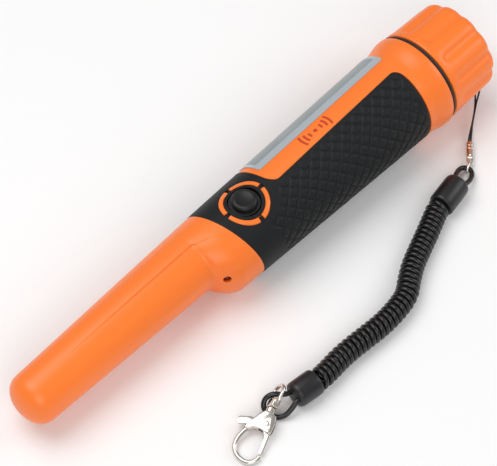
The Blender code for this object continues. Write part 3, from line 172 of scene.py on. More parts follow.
# colour, roughness, grain scale, grain depth, tint and spread, then what else a finish sets
finishes = {
    "orangeShell": ((1.0, 0.205, 0.022), 0.36, 2200, 0.1, 0.05, 0.08, {}),
    "softGrip": ((0.006, 0.0068, 0.008), 0.55, 2600, 0.35, 0.3, 0.15, {"gloss": 0.28}),
    "buttonGloss": ((0.008, 0.008, 0.009), 0.4, 1500, 0.03, 0.1, 0.05, {"gloss": 0.35}),
    "sealRubber": ((0.008, 0.008, 0.009), 0.5, 2600, 0.3, 0.2, 0.1, {}),
    "cordPlastic": ((0.007, 0.007, 0.008), 0.26, 900, 0.05, 0.2, 0.12, {}),
    "sleevePlastic": ((0.01, 0.01, 0.012), 0.38, 1800, 0.2, 0.2, 0.15, {}),
    "stringBraid": ((0.012, 0.011, 0.011), 0.7, 5000, 0.8, 0.4, 0.2, {}),
    "brightNickel": ((0.72, 0.68, 0.63), 0.2, 1600, 0.06, 0.12, 0.12, {"metal": 1.0}),
    "satinSteel": ((0.55, 0.54, 0.53), 0.34, 2000, 0.1, 0.1, 0.1, {"metal": 1.0}),
    "labelFilm": ((0.5, 0.56, 0.6), 0.3, 900, 0.15, 0.25, 0.2, {"metal": 0.25, "stretch": (0.04, 1, 1)}),
    "panelInk": ((0.3, 0.33, 0.34), 0.4, 1400, 0.1, 0.5, 0.2, {"metal": 0.15}),
    "markInk": ((0.55, 0.045, 0.004), 0.5, 2500, 0.05, 0.1, 0.05, {}),
    "ledLens": ((0.16, 0.006, 0.003), 0.12, 900, 0.02, 0.3, 0.03, {}),
    "batteryJacket": ((0.05, 0.05, 0.06), 0.4, 900, 0.05, 0.2, 0.1, {"metal": 0.4}),
    "darkMoulding": ((0.03, 0.03, 0.03), 0.5, 2400, 0.2, 0.2, 0.1, {}),
    "padFoam": ((0.1, 0.1, 0.11), 0.9, 2600, 1.0, 0.5, 0.1, {}),
    "paleMoulding": ((0.7, 0.69, 0.64), 0.45, 2200, 0.12, 0.08, 0.1, {}),
    "solderMask": ((0.02, 0.17, 0.07), 0.3, 700, 0.15, 0.4, 0.15, {}),
    "trimmerBlue": ((0.02, 0.08, 0.33), 0.3, 1800, 0.05, 0.1, 0.05, {}),
    "ferriteBlack": ((0.07, 0.065, 0.065), 0.6, 3200, 0.5, 0.3, 0.15, {"metal": 0.2}),
    "copperWire": ((0.72, 0.25, 0.09), 0.3, 2600, 0.6, 0.3, 0.15, {"metal": 1.0, "stretch": (1, 0.05, 0.05)}),
    "redWire": ((0.42, 0.02, 0.012), 0.4, 2000, 0.05, 0.1, 0.08, {}),
    "blackWire": ((0.012, 0.012, 0.013), 0.4, 2000, 0.05, 0.1, 0.08, {}),
}
made = {}


def finish(name):
    if name in made:
        return made[name]
    colour, *grades, extra = finishes[name]
    material = bpy.data.materials.new(name)
    material.use_nodes = True
    nodes, links = material.node_tree.nodes, material.node_tree.links
    shader = nodes["Principled BSDF"]
    shader.inputs["Metallic"].default_value = extra.get("metal", 0.0)
    shader.inputs["Specular IOR Level"].default_value = extra.get("gloss", 0.5)
    place = nodes.new("ShaderNodeTexCoord")
    turn = nodes.new("ShaderNodeMapping")
    turn.inputs["Scale"].default_value = extra.get("stretch", (1, 1, 1))
    grain = nodes.new("ShaderNodeGroup")
    grain.node_tree = grainGroup
    grain.inputs["Colour"].default_value = (*colour, 1)
    for socket, grade in zip(("Rough", "Scale", "Depth", "Tint", "Spread"), grades):
        grain.inputs[socket].default_value = grade
    links.new(place.outputs["Object"], turn.inputs["Vector"])
    links.new(turn.outputs["Vector"], grain.inputs["Vector"])
    links.new(grain.outputs["Colour"], shader.inputs["Base Color"])
    links.new(grain.outputs["Roughness"], shader.inputs["Roughness"])
    links.new(grain.outputs["Normal"], shader.inputs["Normal"])
    made[name] = material
    return material


def addPiece(name, bm, body, look, replaced=(), place=None, sharpDeg=38, turnFaces=True):
    if place is not None:
        bmesh.ops.transform(bm, matrix=place, verts=bm.verts)
    if turnFaces:
        bmesh.ops.recalc_face_normals(bm, faces=bm.faces)
    mesh = bpy.data.meshes.new(name)
    bm.to_mesh(mesh)
    bm.free()
    piece = bpy.data.objects.new(name, mesh)
    bpy.context.scene.collection.objects.link(piece)
    mesh.materials.append(finish(look))
    mesh.shade_smooth()
    mesh.set_sharp_from_angle(angle=math.radians(sharpDeg))
    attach(piece, body)
    if replaced:
        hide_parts(*replaced)
    return piece


def scratchObject(name, bm):
    bmesh.ops.recalc_face_normals(bm, faces=bm.faces)
    mesh = bpy.data.meshes.new(name)
    bm.to_mesh(mesh)
    bm.free()
    scratch = bpy.data.objects.new(name, mesh)
    bpy.context.scene.collection.objects.link(scratch)
    return scratch


def combined(bm, others, operation):
    target = scratchObject("blank", bm)
    for other in others:
        step = target.modifiers.new(other.name, "BOOLEAN")
        step.operation = operation
        step.solver = "MANIFOLD"
        step.object = other
    bpy.context.view_layer.update()
    evaluated = target.evaluated_get(bpy.context.evaluated_depsgraph_get())
    result = bmesh.new()
    result.from_mesh(evaluated.to_mesh())
    evaluated.to_mesh_clear()
    for used in [target] + list(others):
        mesh = used.data
        bpy.data.objects.remove(used, do_unlink=True)
        bpy.data.meshes.remove(mesh)
    return result


def cutMesh(bm, cutters):
    return combined(bm, cutters, "DIFFERENCE")


def upright(bm, x=0.0):
    bmesh.ops.rotate(bm, cent=(0, 0, 0), matrix=Matrix.Rotation(-math.pi / 2, 3, "Y"), verts=bm.verts)
    bmesh.ops.translate(bm, vec=(x * mm, 0, 0), verts=bm.verts)
    return bm


def thicken(bm, depth):
    bmesh.ops.recalc_face_normals(bm, faces=bm.faces)
    bmesh.ops.solidify(bm, geom=list(bm.faces), thickness=depth * mm)


def bisect(bm, at, outward, clear=False):
    bmesh.ops.bisect_plane(bm, geom=bm.verts[:] + bm.edges[:] + bm.faces[:], plane_co=Vector(at) * mm,
                           plane_no=outward, clear_outer=clear)


def spun(profile, steps, closed=True):
    bm = bmesh.new()
    verts = [bm.verts.new((along * mm, 0, radius * mm)) for along, radius in profile]
    edges = [bm.edges.new(pair) for pair in zip(verts, verts[1:])]
    if closed:
        edges.append(bm.edges.new((verts[-1], verts[0])))
    bmesh.ops.spin(bm, geom=verts + edges, cent=(0, 0, 0), axis=(1, 0, 0), angle=2 * math.pi, steps=steps,
                   use_merge=True)
    bmesh.ops.remove_doubles(bm, verts=bm.verts, dist=mergeGap)
    bmesh.ops.dissolve_degenerate(bm, edges=bm.edges, dist=0.000001)
    return bm


def blockMesh(low, high, bevel=0.0):
    bm = bmesh.new()
    bmesh.ops.create_cube(bm, size=1)
    size = [(b - a) * mm for a, b in zip(low, high)]
    bmesh.ops.scale(bm, vec=size, verts=bm.verts)
    bmesh.ops.translate(bm, vec=[(a + b) / 2 * mm for a, b in zip(low, high)], verts=bm.verts)
    if bevel:
        bmesh.ops.bevel(bm, geom=list(bm.edges), offset=bevel * mm, segments=3, affect="EDGES", profile=0.5,
                        material=-1)
    return bm


def rodMesh(start, end, radius, sides=48):
    start, end = Vector(start) * mm, Vector(end) * mm
    bm = bmesh.new()
    bmesh.ops.create_cone(bm, cap_ends=True, segments=sides, radius1=radius * mm,
                          radius2=radius * mm, depth=(end - start).length)
    turn = (end - start).to_track_quat("Z", "Y").to_matrix().to_4x4()
    bmesh.ops.transform(bm, matrix=Matrix.Translation((start + end) / 2) @ turn, verts=bm.verts)
    return bm


def plateMesh(outline, half, bevel=0.0):
    bm = bmesh.new()
    face = bm.faces.new([bm.verts.new((x * mm, y * mm, -half * mm)) for x, y in outline])
    grown = bmesh.ops.extrude_face_region(bm, geom=[face])
    moved = [item for item in grown["geom"] if isinstance(item, bmesh.types.BMVert)]
    bmesh.ops.translate(bm, vec=(0, 0, 2 * half * mm), verts=moved)
    if bevel:
        bmesh.ops.bevel(bm, geom=list(bm.edges), offset=bevel * mm, segments=2, affect="EDGES", profile=0.5,
                        material=-1)
    return bm


def wrapped(columns, rows, place):
    bm = bmesh.new()
    bmesh.ops.create_grid(bm, x_segments=columns, y_segments=rows, size=1)
    for vert in bm.verts:
        vert.co = place(round((vert.co.x + 1) / 2 * columns), (vert.co.y + 1) / 2)
    bmesh.ops.remove_doubles(bm, verts=bm.verts, dist=mergeGap)
    return bm


def smoothPoints(points, count):
    points = [Vector(point) for point in points]
    padded = [2 * points[0] - points[1]] + points + [2 * points[-1] - points[-2]]
    dense = []
    for i in range(len(points) - 1):
        a, b, c, d = padded[i:i + 4]
        for step in range(24):
            t = step / 24
            dense.append(0.5 * (2 * b + (c - a) * t + (2 * a - 5 * b + 4 * c - d) * t ** 2
                                + (3 * b - a - 3 * c + d) * t ** 3))
    dense.append(points[-1])
    lengths = [0.0]
    for first, second in zip(dense, dense[1:]):
        lengths.append(lengths[-1] + (second - first).length)
    result = []
    place = 0
    for i in range(count):
        target = lengths[-1] * i / (count - 1)
        while place < len(lengths) - 2 and lengths[place + 1] < target:
            place += 1
        share = (target - lengths[place]) / (lengths[place + 1] - lengths[place])
        result.append(dense[place].lerp(dense[place + 1], share))
    return result


def tubeCurve(name, points, diameter, resolution=4, cyclic=False):
    curve = bpy.data.curves.new(name, "CURVE")
    curve.dimensions = "3D"
    curve.bevel_depth = diameter / 2
    curve.bevel_resolution = resolution
    curve.use_fill_caps = not cyclic
    spline = curve.splines.new("POLY")
    spline.points.add(len(points) - 1)
    for target, point in zip(spline.points, points):
        target.co = (*point, 1)
    spline.use_cyclic_u = cyclic
    spline.use_smooth = True
    tube = bpy.data.objects.new(name, curve)
    bpy.context.scene.collection.objects.link(tube)
    return tube


def wireCurve(name, points, diameter, body, look, replaced):
    wire = tubeCurve(name, points, diameter)
    wire.data.materials.append(finish(look))
    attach(wire, body)
    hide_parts(*replaced)
    return wire


def sweptMesh(points, diameter, resolution=4, cyclic=False):
    holder = tubeCurve("sweep", [Vector(point) * mm for point in points], diameter * mm, resolution, cyclic)
    curve = holder.data
    bpy.context.view_layer.update()
    evaluated = holder.evaluated_get(bpy.context.evaluated_depsgraph_get())
    bm = bmesh.new()
    bm.from_mesh(evaluated.to_mesh())
    evaluated.to_mesh_clear()
    bpy.data.objects.remove(holder, do_unlink=True)
    bpy.data.curves.remove(curve)
    bmesh.ops.remove_doubles(bm, verts=bm.verts, dist=mergeGap)
    return bm


def mergeInto(bm, other):
    mesh = bpy.data.meshes.new("joined")
    other.to_mesh(mesh)
    other.free()
    bm.from_mesh(mesh)
    bpy.data.meshes.remove(mesh)
    return bm


def around(angleDeg, radius, x=0.0):
    turn = math.radians(angleDeg)
    return Vector((x, -radius * math.sin(turn), radius * math.cos(turn)))


def softStep(low, high, value):
    t = min(max((value - low) / (high - low), 0.0), 1.0)
    return t * t * (3 - 2 * t)


# the lanyard, with points in millimetres from the seal's place on the table
lanyard = {
    "cord": 2.1, "coil": 9.4, "turns": 40, "string": 0.75, "eyeHalf": 2.4,
    "upperSleeve": ((-17.2, -39.3, 5.4), (-30.6, -41.8, 5.4)),
    "lowerSleeve": ((-124.2, -62.4, 5.4), (-134.9, -61.2, 5.4)),
    "sleeveRadius": 5.3,
    "ferrule": ((2.9, -28.1, 2.2), (-2.4, -32.8, 2.2)), "strand": 0.42,
    "lugDeg": 142.0, "bar": (24.0, 12.0, 1.5),
    "coilRoute": [(-31.4, -41.95, 5.4), (-33.8, -42.5, 5.2), (-38.4, -44.4, 4.9), (-45.6, -47.4, 4.9),
                  (-52.7, -50.2, 4.9), (-59.6, -53.2, 4.9), (-65.4, -56.6, 4.9), (-70.5, -59.9, 4.9),
                  (-75.5, -61.5, 4.9),
                  (-82.6, -62.5, 4.9), (-89.6, -62.7, 4.9), (-96.4, -62.3, 4.9), (-103.1, -61.9, 4.9),
                  (-109.8, -61.8, 4.9), (-116.8, -62.4, 5.0), (-121.3, -62.7, 5.2), (-123.6, -62.5, 5.4)],
    "upperEye": [(-14.4, -35.6, 4.7), (-11.4, -34.3, 3.4), (-8.6, -34.3, 2.6), (-7.1, -36.6, 2.5),
                 (-8.3, -39.0, 2.6),
                 (-11.4, -40.7, 3.4), (-14.4, -41.4, 4.6)],
    "lowerEye": [(-137.6, -57.4, 5.6), (-140.2, -54.8, 5.7), (-142.9, -53.8, 4.2), (-145.0, -55.2, 2.3),
                 (-145.2, -58.3, 1.25), (-144.1, -61.2, 1.25), (-142.0, -63.1, 2.1), (-139.0, -63.7, 3.8)],
}


def onTable(point):
    return worldMatrix @ (Vector(point) * mm)


def onCap(angleDeg, radius, x):
    return probeMatrix @ (around(angleDeg, radius, x) * mm)


def buildString():
    top, end = onTable(lanyard["ferrule"][0]), onTable(lanyard["ferrule"][1])
    way = (end - top).normalized()
    side = Vector((-way.y, way.x, 0)) * lanyard["strand"] * mm
    lug = lanyard["lugDeg"]
    barX, barPlace, barRadius = lanyard["bar"]
    bend = barRadius + lanyard["string"] / 2 + 0.15
    route = [
        top + way * 2.5 * mm + side, top - way * 2 * mm + side, onTable((11.5, -22.0, 2.6)),
        onTable((17.4, -18.0, 3.5)),
        onCap(lug, 21.2, barX - bend + 0.2), onCap(lug, barPlace + 3.5, barX - bend),
        onCap(lug, barPlace, barX - bend),
        onCap(lug, barPlace - 0.75 * bend, barX - 0.72 * bend), onCap(lug, barPlace - bend - 0.1, barX),
        onCap(lug, barPlace - 0.75 * bend, barX + 0.72 * bend), onCap(lug, barPlace, barX + bend),
        onCap(lug, barPlace + 4, barX + bend - 0.3), onCap(lug, 21.2, barX + 1.4),
        onTable((18.8, -17.4, 4.3)), onTable((11.5, -22.0, 3.5)),
        top - way * 2 * mm - side, top + way * 2.5 * mm - side]
    points = smoothPoints(route, 110)
    string = wireCurve("loopString", points, lanyard["string"] * mm, "cap", "stringBraid",
                       ["loop_string"])


def sleeveWay(ends):
    return (onTable(ends[0]) - onTable(ends[1])).normalized()


def eyeRoute(sleeveEnd, way, route):
    side = Vector((-way.y, way.x, 0)) * lanyard["eyeHalf"] * mm
    first, last = onTable(route[0]), onTable(route[-1])
    if (first - last).dot(side) < 0:
        side = -side
    points = [sleeveEnd - way * 2 * mm + side,
              sleeveEnd + way * 0.75 * mm + side] + [onTable(point) for point in route]
    points += [sleeveEnd + way * 0.75 * mm - side, sleeveEnd - way * 2 * mm - side]
    return smoothPoints(points, 60)


def coilPoints():
    turns, perTurn = lanyard["turns"], 24
    count = turns * perTurn + 1
    middle = smoothPoints([onTable(point) for point in lanyard["coilRoute"]], count)
    radius = (lanyard["coil"] - lanyard["cord"]) / 2 * mm
    points = []
    for i, centre in enumerate(middle):
        along = (middle[min(i + 1, count - 1)] - middle[max(i - 1, 0)]).normalized()
        across = along.cross(Vector((0, 0, 1))).normalized()
        up = across.cross(along)
        angle = 2 * math.pi * i / perTurn
        points.append(centre + (across * math.cos(angle) + up * math.sin(angle)) * radius)
    return points


def buildCoil():
    points = coilPoints()
    coil = wireCurve("coiledCord", points, lanyard["cord"] * mm, "cap", "cordPlastic",
                     ["cord_coil"])
    ends = lanyard["upperSleeve"]
    upper = eyeRoute(onTable(ends[0]), sleeveWay(ends), lanyard["upperEye"])
    eye = wireCurve("upperCordEye", upper, lanyard["cord"] * mm, "cap", "cordPlastic",
                    ["upper_cord_eye"])
    ends = lanyard["lowerSleeve"]
    lower = eyeRoute(onTable(ends[1]), -sleeveWay(ends), lanyard["lowerEye"])
    eye = wireCurve("lowerCordEye", lower, lanyard["cord"] * mm, "cap", "cordPlastic",
                    ["lower_cord_eye"])
    for name, node, ends in (("upperSleeve", "upper_sleeve", lanyard["upperSleeve"]),
                             ("lowerSleeve", "lower_sleeve", lanyard["lowerSleeve"])):
        start, end = onTable(ends[0]), onTable(ends[1])
        length = (end - start).length / mm
        r = lanyard["sleeveRadius"]
        outline = [(0, 0), (0, r - 1.2), (0.15, r - 0.75), (0.5, r - 0.35), (1.0, r - 0.15), (2.0, r - 0.05),
                   (length / 2, r), (length - 1.2, r), (length - 0.5, r - 0.12), (length - 0.12, r - 0.4),
                   (length, r - 0.8), (length, 0)]
        if node == "lower_sleeve":
            outline = [(length - along, radius) for along, radius in reversed(outline)]
        bm = spun(outline, 64, closed=False)
        turn = Matrix.Translation(start) @ (end - start).to_track_quat("X", "Z").to_matrix().to_4x4()
        addPiece(name, bm, "cap", "sleevePlastic", [node], turn)


buildString()
buildCoil()
print("cords are laid")


# the shell, in millimetres and degrees on the probe's own axis
shell = {
    "tip": -214.5, "body": 17.15, "bodyStart": -113.0, "flare": 0.024, "collar": 21.0, "collarLength": 10.0,
    "land": 2.2,
    "labelDeg": -49.0, "tipRadius": 10.5, "shaftRadius": 12.7, "tipOffset": 3.4, "shaftOffset": 3.9,
    "shoulderFront": -126.0, "shoulderBack": -115.5, "round": 8.0, "spineDeg": 54.0, "spineRise": 0.75,
    "creaseDeg": 3.0, "split": -89.0, "gripDepth": 1.6, "gripFront": -109.6, "gripBack": -12.6,
    "slantDeg": 128.0,
    "slant": 4.6, "windowDeg": 57.0, "windowFront": -81.8, "buttonX": -98.0, "wellRadius": 6.7,
    "wellFloor": 14.6,
    "neckEnd": 12.8, "wall": 1.3,
}


def bodyRadius(x):
    return shell["body"] + shell["flare"] * (x - shell["bodyStart"])


def gripEdge(angleDeg):
    return shell["gripFront"] + shell["slant"] * math.cos(math.radians(angleDeg - shell["slantDeg"]))


def shaftPoint(x, away):
    share = (x - shell["tip"]) / (shell["shoulderFront"] - shell["tip"])
    radius = shell["tipRadius"] + (shell["shaftRadius"] - shell["tipRadius"]) * share
    offset = shell["tipOffset"] + (shell["shaftOffset"] - shell["tipOffset"]) * share
    depth = x - shell["tip"]
    if depth < shell["round"]:
        radius *= max(1 - (1 - depth / shell["round"]) ** 2.3, 0.0) ** (1 / 2.3)
    rise = shell["spineRise"] * softStep(shell["tip"] + 15, shell["tip"] + 80, x)
    turned = (away + 180) % 360 - 180
    if abs(turned) < shell["spineDeg"]:
        lift = rise * (0.25 + 0.75 * (abs(turned) / shell["spineDeg"]) ** 2)
    else:
        lift = rise * (1 - softStep(shell["spineDeg"], shell["spineDeg"] + shell["creaseDeg"], abs(turned)))
    return around(shell["labelDeg"], offset, x) + around(shell["labelDeg"] + away, radius + lift)


def shoulderShare(x):
    t = min(max((x - shell["shoulderFront"]) / (shell["shoulderBack"] - shell["shoulderFront"]), 0.0), 1.0)
    rounded = 1 - (1 - t) ** 1.7
    return rounded * softStep(0, 0.25, t)


def nosePoint(x, away, inset=0.0):
    outer = around(shell["labelDeg"] + away, bodyRadius(x) - inset, x)
    return shaftPoint(x, away).lerp(outer, shoulderShare(x))


def buttonRod(low, high, radius, sides=64):
    return rodMesh((shell["buttonX"], 0, low), (shell["buttonX"], 0, high), radius, sides)


led = {"deg": 74, "out": 13.2, "x": -121, "lean": 0.75, "holeRadius": 1.65}


def buildNose():
    dome = [shell["tip"] + shell["round"] * (1 - math.cos(math.radians(a))) for a in (0, 8, 16, 24, 32, 40,
                                                                                      48, 56, 64, 72, 81)]
    shaft = [-206.5 + 4.1 * i for i in range(19)]
    shoulder = [-127 + 0.5 * i for i in range(24)]
    stations = dome + shaft + shoulder
    last = stations[-1]
    steps = 6
    behind = [0.25, 0.35, 1.2]
    columns = len(stations) + steps + len(behind)
    crease = [shell["spineDeg"] - 1 + 0.5 * i for i in range(12)]
    turns = sorted({3.0 * i for i in range(121)} | set(crease) | {360 - turn for turn in crease})

    def place(column, turnShare):
        away = turns[round(turnShare * (len(turns) - 1))]
        edge = gripEdge(shell["labelDeg"] + away)
        if column < len(stations):
            return nosePoint(stations[column], away) * mm
        column -= len(stations)
        if column < steps:
            return nosePoint(last + (edge - last) * (column + 1) / steps, away) * mm
        column -= steps
        if column < len(behind):
            x = edge + behind[column]
            return nosePoint(x, away, 0 if column == 0 else shell["gripDepth"]) * mm
        return around(shell["labelDeg"] + away, bodyRadius(shell["split"]) - shell["gripDepth"],
                      shell["split"] - 0.3) * mm

    bm = wrapped(columns, len(turns) - 1, place)
    thicken(bm, shell["wall"])
    boss = buttonRod(shell["wellFloor"] - 2, 15.2, shell["wellRadius"] + 1.4)
    bm = combined(bm, [scratchObject("buttonBoss", boss)], "UNION")
    ledOut = (around(led["deg"], 1.0) - Vector((led["lean"], 0, 0))).normalized()
    ledSeat = around(led["deg"], led["out"], led["x"])
    cutters = [
        scratchObject("wellCut", buttonRod(shell["wellFloor"], 30, shell["wellRadius"] + 0.7)),
        scratchObject("stemCut", buttonRod(5, 16, 2.4, 32)),
        scratchObject("ledCut", rodMesh(ledSeat - ledOut * 3.2, ledSeat + ledOut * 9, led["holeRadius"], 32)),
    ]
    bm = cutMesh(bm, cutters)
    addPiece("noseShell", bm, "housing", "orangeShell", ["nose_shell"], probeMatrix,
             sharpDeg=50)
    lens = spun([(-3.0, 0), (-3.0, 1.5), (-0.4, 1.5), (0.0, 1.25), (0.35, 0.7), (0.45, 0)], 32, closed=False)
    turn = Matrix.Translation(ledSeat * mm) @ ledOut.to_track_quat("X", "Z").to_matrix().to_4x4()
    addPiece("indicatorLens", lens, "housing", "ledLens", ["indicator_led"], probeMatrix @ turn)


battery = {"back": -7.5, "length": 46.4, "width": 26.2, "thick": 17.2, "clear": 0.45, "corner": 2.4}


def buildHousing():
    front, back, land, neckEnd = shell["split"], shell["gripBack"], shell["land"], shell["neckEnd"]
    inset, collar = shell["gripDepth"], shell["collar"]
    pocketFront = battery["back"] - battery["length"] - 4
    profile = [(neckEnd, 9), (neckEnd, 16.2), (neckEnd - 0.25, 16.75), (neckEnd - 0.8, 17.0),
               (-0.2, 17.0), (-0.3, 17.1), (-0.3, 20.45), (-0.42, 20.8), (-0.75, collar), (-land, collar)]
    collarFoot = bodyRadius(-shell["collarLength"])
    for i in range(1, 15):
        share = i / 14
        profile.append((-land + (-shell["collarLength"] + land) * share,
                        collar + (collarFoot - collar) * softStep(0, 1, share)))
    profile += [(back + 0.3, bodyRadius(back)), (back - 8, bodyRadius(back - 8)),
                (front + 8, bodyRadius(front + 8)),
                (front, bodyRadius(front)), (front, 14.0), (pocketFront, 14.0), (pocketFront, 9)]
    bm = spun(profile, 128)
    wide, thick = battery["width"] / 2 + battery["clear"], battery["thick"] / 2 + battery["clear"]
    pocket = blockMesh((pocketFront - 0.5, -wide, -thick), (neckEnd + 9, wide, thick))
    corners = [edge for edge in pocket.edges if abs(edge.verts[0].co.x - edge.verts[1].co.x) > mm]
    bmesh.ops.bevel(pocket, geom=corners, offset=battery["corner"] * mm, segments=6, affect="EDGES",
                    profile=0.5, material=-1)
    cutters = [scratchObject("batteryPocket", pocket)]
    sleeve = spun([(back + 0.3, 40), (-125, 40), (-125, bodyRadius(-125) - inset),
                   (back + 0.3, bodyRadius(back) - inset)], 128)
    core = windowMesh(-0.3)
    keep = scratchObject("windowCore", core)
    sleeve = cutMesh(sleeve, [keep])
    cutters.append(scratchObject("gripSeat", sleeve))
    bm = cutMesh(bm, cutters)
    addPiece("mainHousing", bm, "housing", "orangeShell", ["main_housing"], probeMatrix,
             sharpDeg=35)
    # the neck's thread
    ridge = bmesh.new()
    verts = [ridge.verts.new((x * mm, 0, r * mm)) for x, r in ((3.5, 16.8), (4.1, 17.65), (4.7, 17.65),
                                                               (5.3, 16.8))]
    edges = [ridge.edges.new(pair) for pair in zip(verts, verts[1:] + verts[:1])]
    ridge.faces.new(verts)
    turns, stepCount, pitch = 2.0, 128, 3.0
    bmesh.ops.spin(ridge, geom=verts + edges, cent=(0, 0, 0), axis=(1, 0, 0),
                   dvec=(pitch * turns / stepCount * mm, 0, 0), angle=2 * math.pi * turns, steps=stepCount)
    bmesh.ops.holes_fill(ridge, edges=[edge for edge in ridge.edges if edge.is_boundary], sides=0)
    addPiece("neckThread", ridge, "housing", "orangeShell", (), probeMatrix)
    seal = [(0.05, 17.3), (0.05, 20.0), (0.2, 20.35), (0.5, 20.55), (0.95, 20.55), (1.25, 20.35),
            (1.45, 20.0), (1.45, 17.3)]
    addPiece("neckSeal", spun(seal, 128), "housing", "sealRubber", ["neck_seal"], probeMatrix)


def windowMesh(grow):
    radius = bodyRadius(shell["windowFront"])
    middle = radius * math.sin(math.radians(shell["windowDeg"]))
    corner, fillet = 3.2, 3.5
    rear = -shell["windowFront"] + shell["gripBack"] - fillet
    side = []
    for i in range(9):
        turn = math.radians(11.25 * i)
        side.append((corner - grow - corner * math.cos(turn),
                     middle + grow - corner + corner * math.sin(turn)))
    for i in range(9):
        turn = math.radians(11.25 * i)
        side.append((rear + (fillet - grow) * math.sin(turn),
                     middle + fillet - (fillet - grow) * math.cos(turn)))
    side.append((110, side[-1][1]))
    outline = side + [(x, -y) for x, y in reversed(side)]
    bm = plateMesh(outline, 15)
    low = radius * math.cos(math.radians(shell["windowDeg"])) - 8
    bmesh.ops.translate(bm, vec=(0, 0, (low + 15) * mm), verts=bm.verts)
    lean = shell["slant"] / shell["body"]
    for vert in bm.verts:
        if vert.co.x < (rear - 1) * mm:
            vert.co.x -= vert.co.z * lean
    turn = Matrix.Rotation(math.radians(shell["labelDeg"]), 4,
                           "X") @ Matrix.Translation((shell["windowFront"] * mm, 0, 0))
    bmesh.ops.transform(bm, matrix=turn, verts=bm.verts)
    return bm


grip = {"proud": 0.15, "thickness": 1.6, "cellsAround": 20, "scaleRadius": 18.3, "groove": 0.34, "cells": 40,
        "roll": 0.4,
        "seamDeg": 131.0, "middleX": -63.5}
gripPitch = 2 * math.pi * grip["scaleRadius"] / math.sqrt(2) / grip["cellsAround"]


def gripHeight(x, arc, angleDeg):
    nearest = 9.0
    for diagonal in (x - grip["middleX"] + arc, x - grip["middleX"] - arc):
        place = diagonal / math.sqrt(2) / gripPitch
        nearest = min(nearest, abs(place - round(place)) * gripPitch)
    sunk = 1 - min(max(nearest - 0.2, 0) / 0.22, 1)
    turned = (angleDeg + 180) % 360 - 180
    fromButton = math.hypot(x - shell["buttonX"], math.radians(turned) * grip["scaleRadius"])
    patch = softStep(13.5, 15.0, fromButton) * softStep(gripEdge(angleDeg) + 12, gripEdge(angleDeg) + 14, x)
    patch *= 1 - softStep(shell["gripBack"] - 3.0, shell["gripBack"] - 1.6, x)
    fromLabel = math.radians(angleDeg - shell["labelDeg"])
    if math.cos(fromLabel) > 0:
        edge = bodyRadius(shell["windowFront"]) * math.sin(math.radians(shell["windowDeg"]))
        patch *= softStep(0.5, 1.6, abs(bodyRadius(x) * math.sin(fromLabel)) - edge)
    return -grip["groove"] * sunk * patch


def buildGrip():
    stops = [0.2, 0.42, 1.5, gripPitch - 1.5, gripPitch - 0.42, gripPitch - 0.2]
    count = grip["cells"] * len(stops)
    bm = bmesh.new()
    bmesh.ops.create_grid(bm, x_segments=count, y_segments=count, size=1)

    def along(value):
        cell, stop = divmod(round((value + 1) / 2 * count), len(stops))
        return (cell - grip["cells"] / 2) * gripPitch + stops[stop]

    for vert in bm.verts:
        across, down = along(vert.co.x), along(vert.co.y)
        vert.co = ((grip["middleX"] + (across + down) / math.sqrt(2)) * mm,
                   (across - down) / math.sqrt(2) * mm, 0)
    halfTurn = math.pi * grip["scaleRadius"]
    for at, outward in (((shell["gripBack"], 0, 0), (1, 0, 0)), ((-116, 0, 0), (-1, 0, 0)),
                        ((0, halfTurn, 0), (0, 1, 0)),
                        ((0, -halfTurn, 0), (0, -1, 0))):
        bisect(bm, at, outward, clear=True)
    for vert in bm.verts:
        x, arc = vert.co.x / mm, vert.co.y / mm
        angle = grip["seamDeg"] + math.degrees(arc / grip["scaleRadius"])
        vert.co = around(angle, bodyRadius(x) + grip["proud"] + gripHeight(x, arc, angle), x) * mm
    bmesh.ops.remove_doubles(bm, verts=bm.verts, dist=0.00003)
    lean = around(shell["slantDeg"], shell["slant"] / 17.3)
    frontWay = (Vector((1, 0, 0)) - lean).normalized()
    front, back = Vector((shell["gripFront"], 0, 0)), Vector((shell["gripBack"], 0, 0))
    bisect(bm, front, -frontWay, clear=True)
    for inset in (0.15, 0.35, 0.6):
        for at, way in ((front, frontWay), (back, Vector((-1, 0, 0)))):
            bisect(bm, at + way * inset, way)
    for vert in bm.verts:
        near = min((vert.co / mm - front).dot(frontWay), shell["gripBack"] - vert.co.x / mm)
        if near < 0.6:
            share = grip["roll"] * (1 - max(near, 0) / 0.6) ** 2 * mm / math.hypot(vert.co.y, vert.co.z)
            vert.co.y *= 1 - share
            vert.co.z *= 1 - share
    thicken(bm, grip["thickness"])
    bezelSeat = spun([(0, 10.05), (30, 10.05), (30, 7.95), (0, 7.95)], 96)
    upright(bezelSeat, shell["buttonX"])
    core = rodMesh((-140, 0, 0), (-40, 0, 0), bodyRadius(shell["buttonX"]) - 0.9, 128)
    groove = cutMesh(bezelSeat, [scratchObject("gripCore", core)])
    cutters = [
        scratchObject("windowCut", windowMesh(0)),
        scratchObject("buttonCut", buttonRod(5, 30, shell["wellRadius"])),
        scratchObject("bezelCut", groove),
    ]
    bm = cutMesh(bm, cutters)
    addPiece("rubberGrip", bm, "housing", "softGrip", ["rubber_grip"], probeMatrix, sharpDeg=60)
    low, radius = shell["wellFloor"] + 0.02, shell["wellRadius"]
    liner = spun([(low, 2.5), (low, radius + 0.65), (15.3, radius + 0.65), (15.3, radius + 0.05),
                  (14.9, radius - 0.2),
                  (14.9, 2.5)], 64)
    wall = spun([(15.0, radius + 0.02), (15.0, radius + 0.65), (16.0, radius + 0.65), (16.0, radius + 0.02)],
                64)
    mergeInto(liner, wall)
    upright(liner, shell["buttonX"])
    addPiece("buttonWell", liner, "housing", "softGrip", (), probeMatrix)


bezel = {"inner": 8.1, "outer": 9.9, "proud": 0.45, "seat": 0.8, "gapDeg": 13.0}


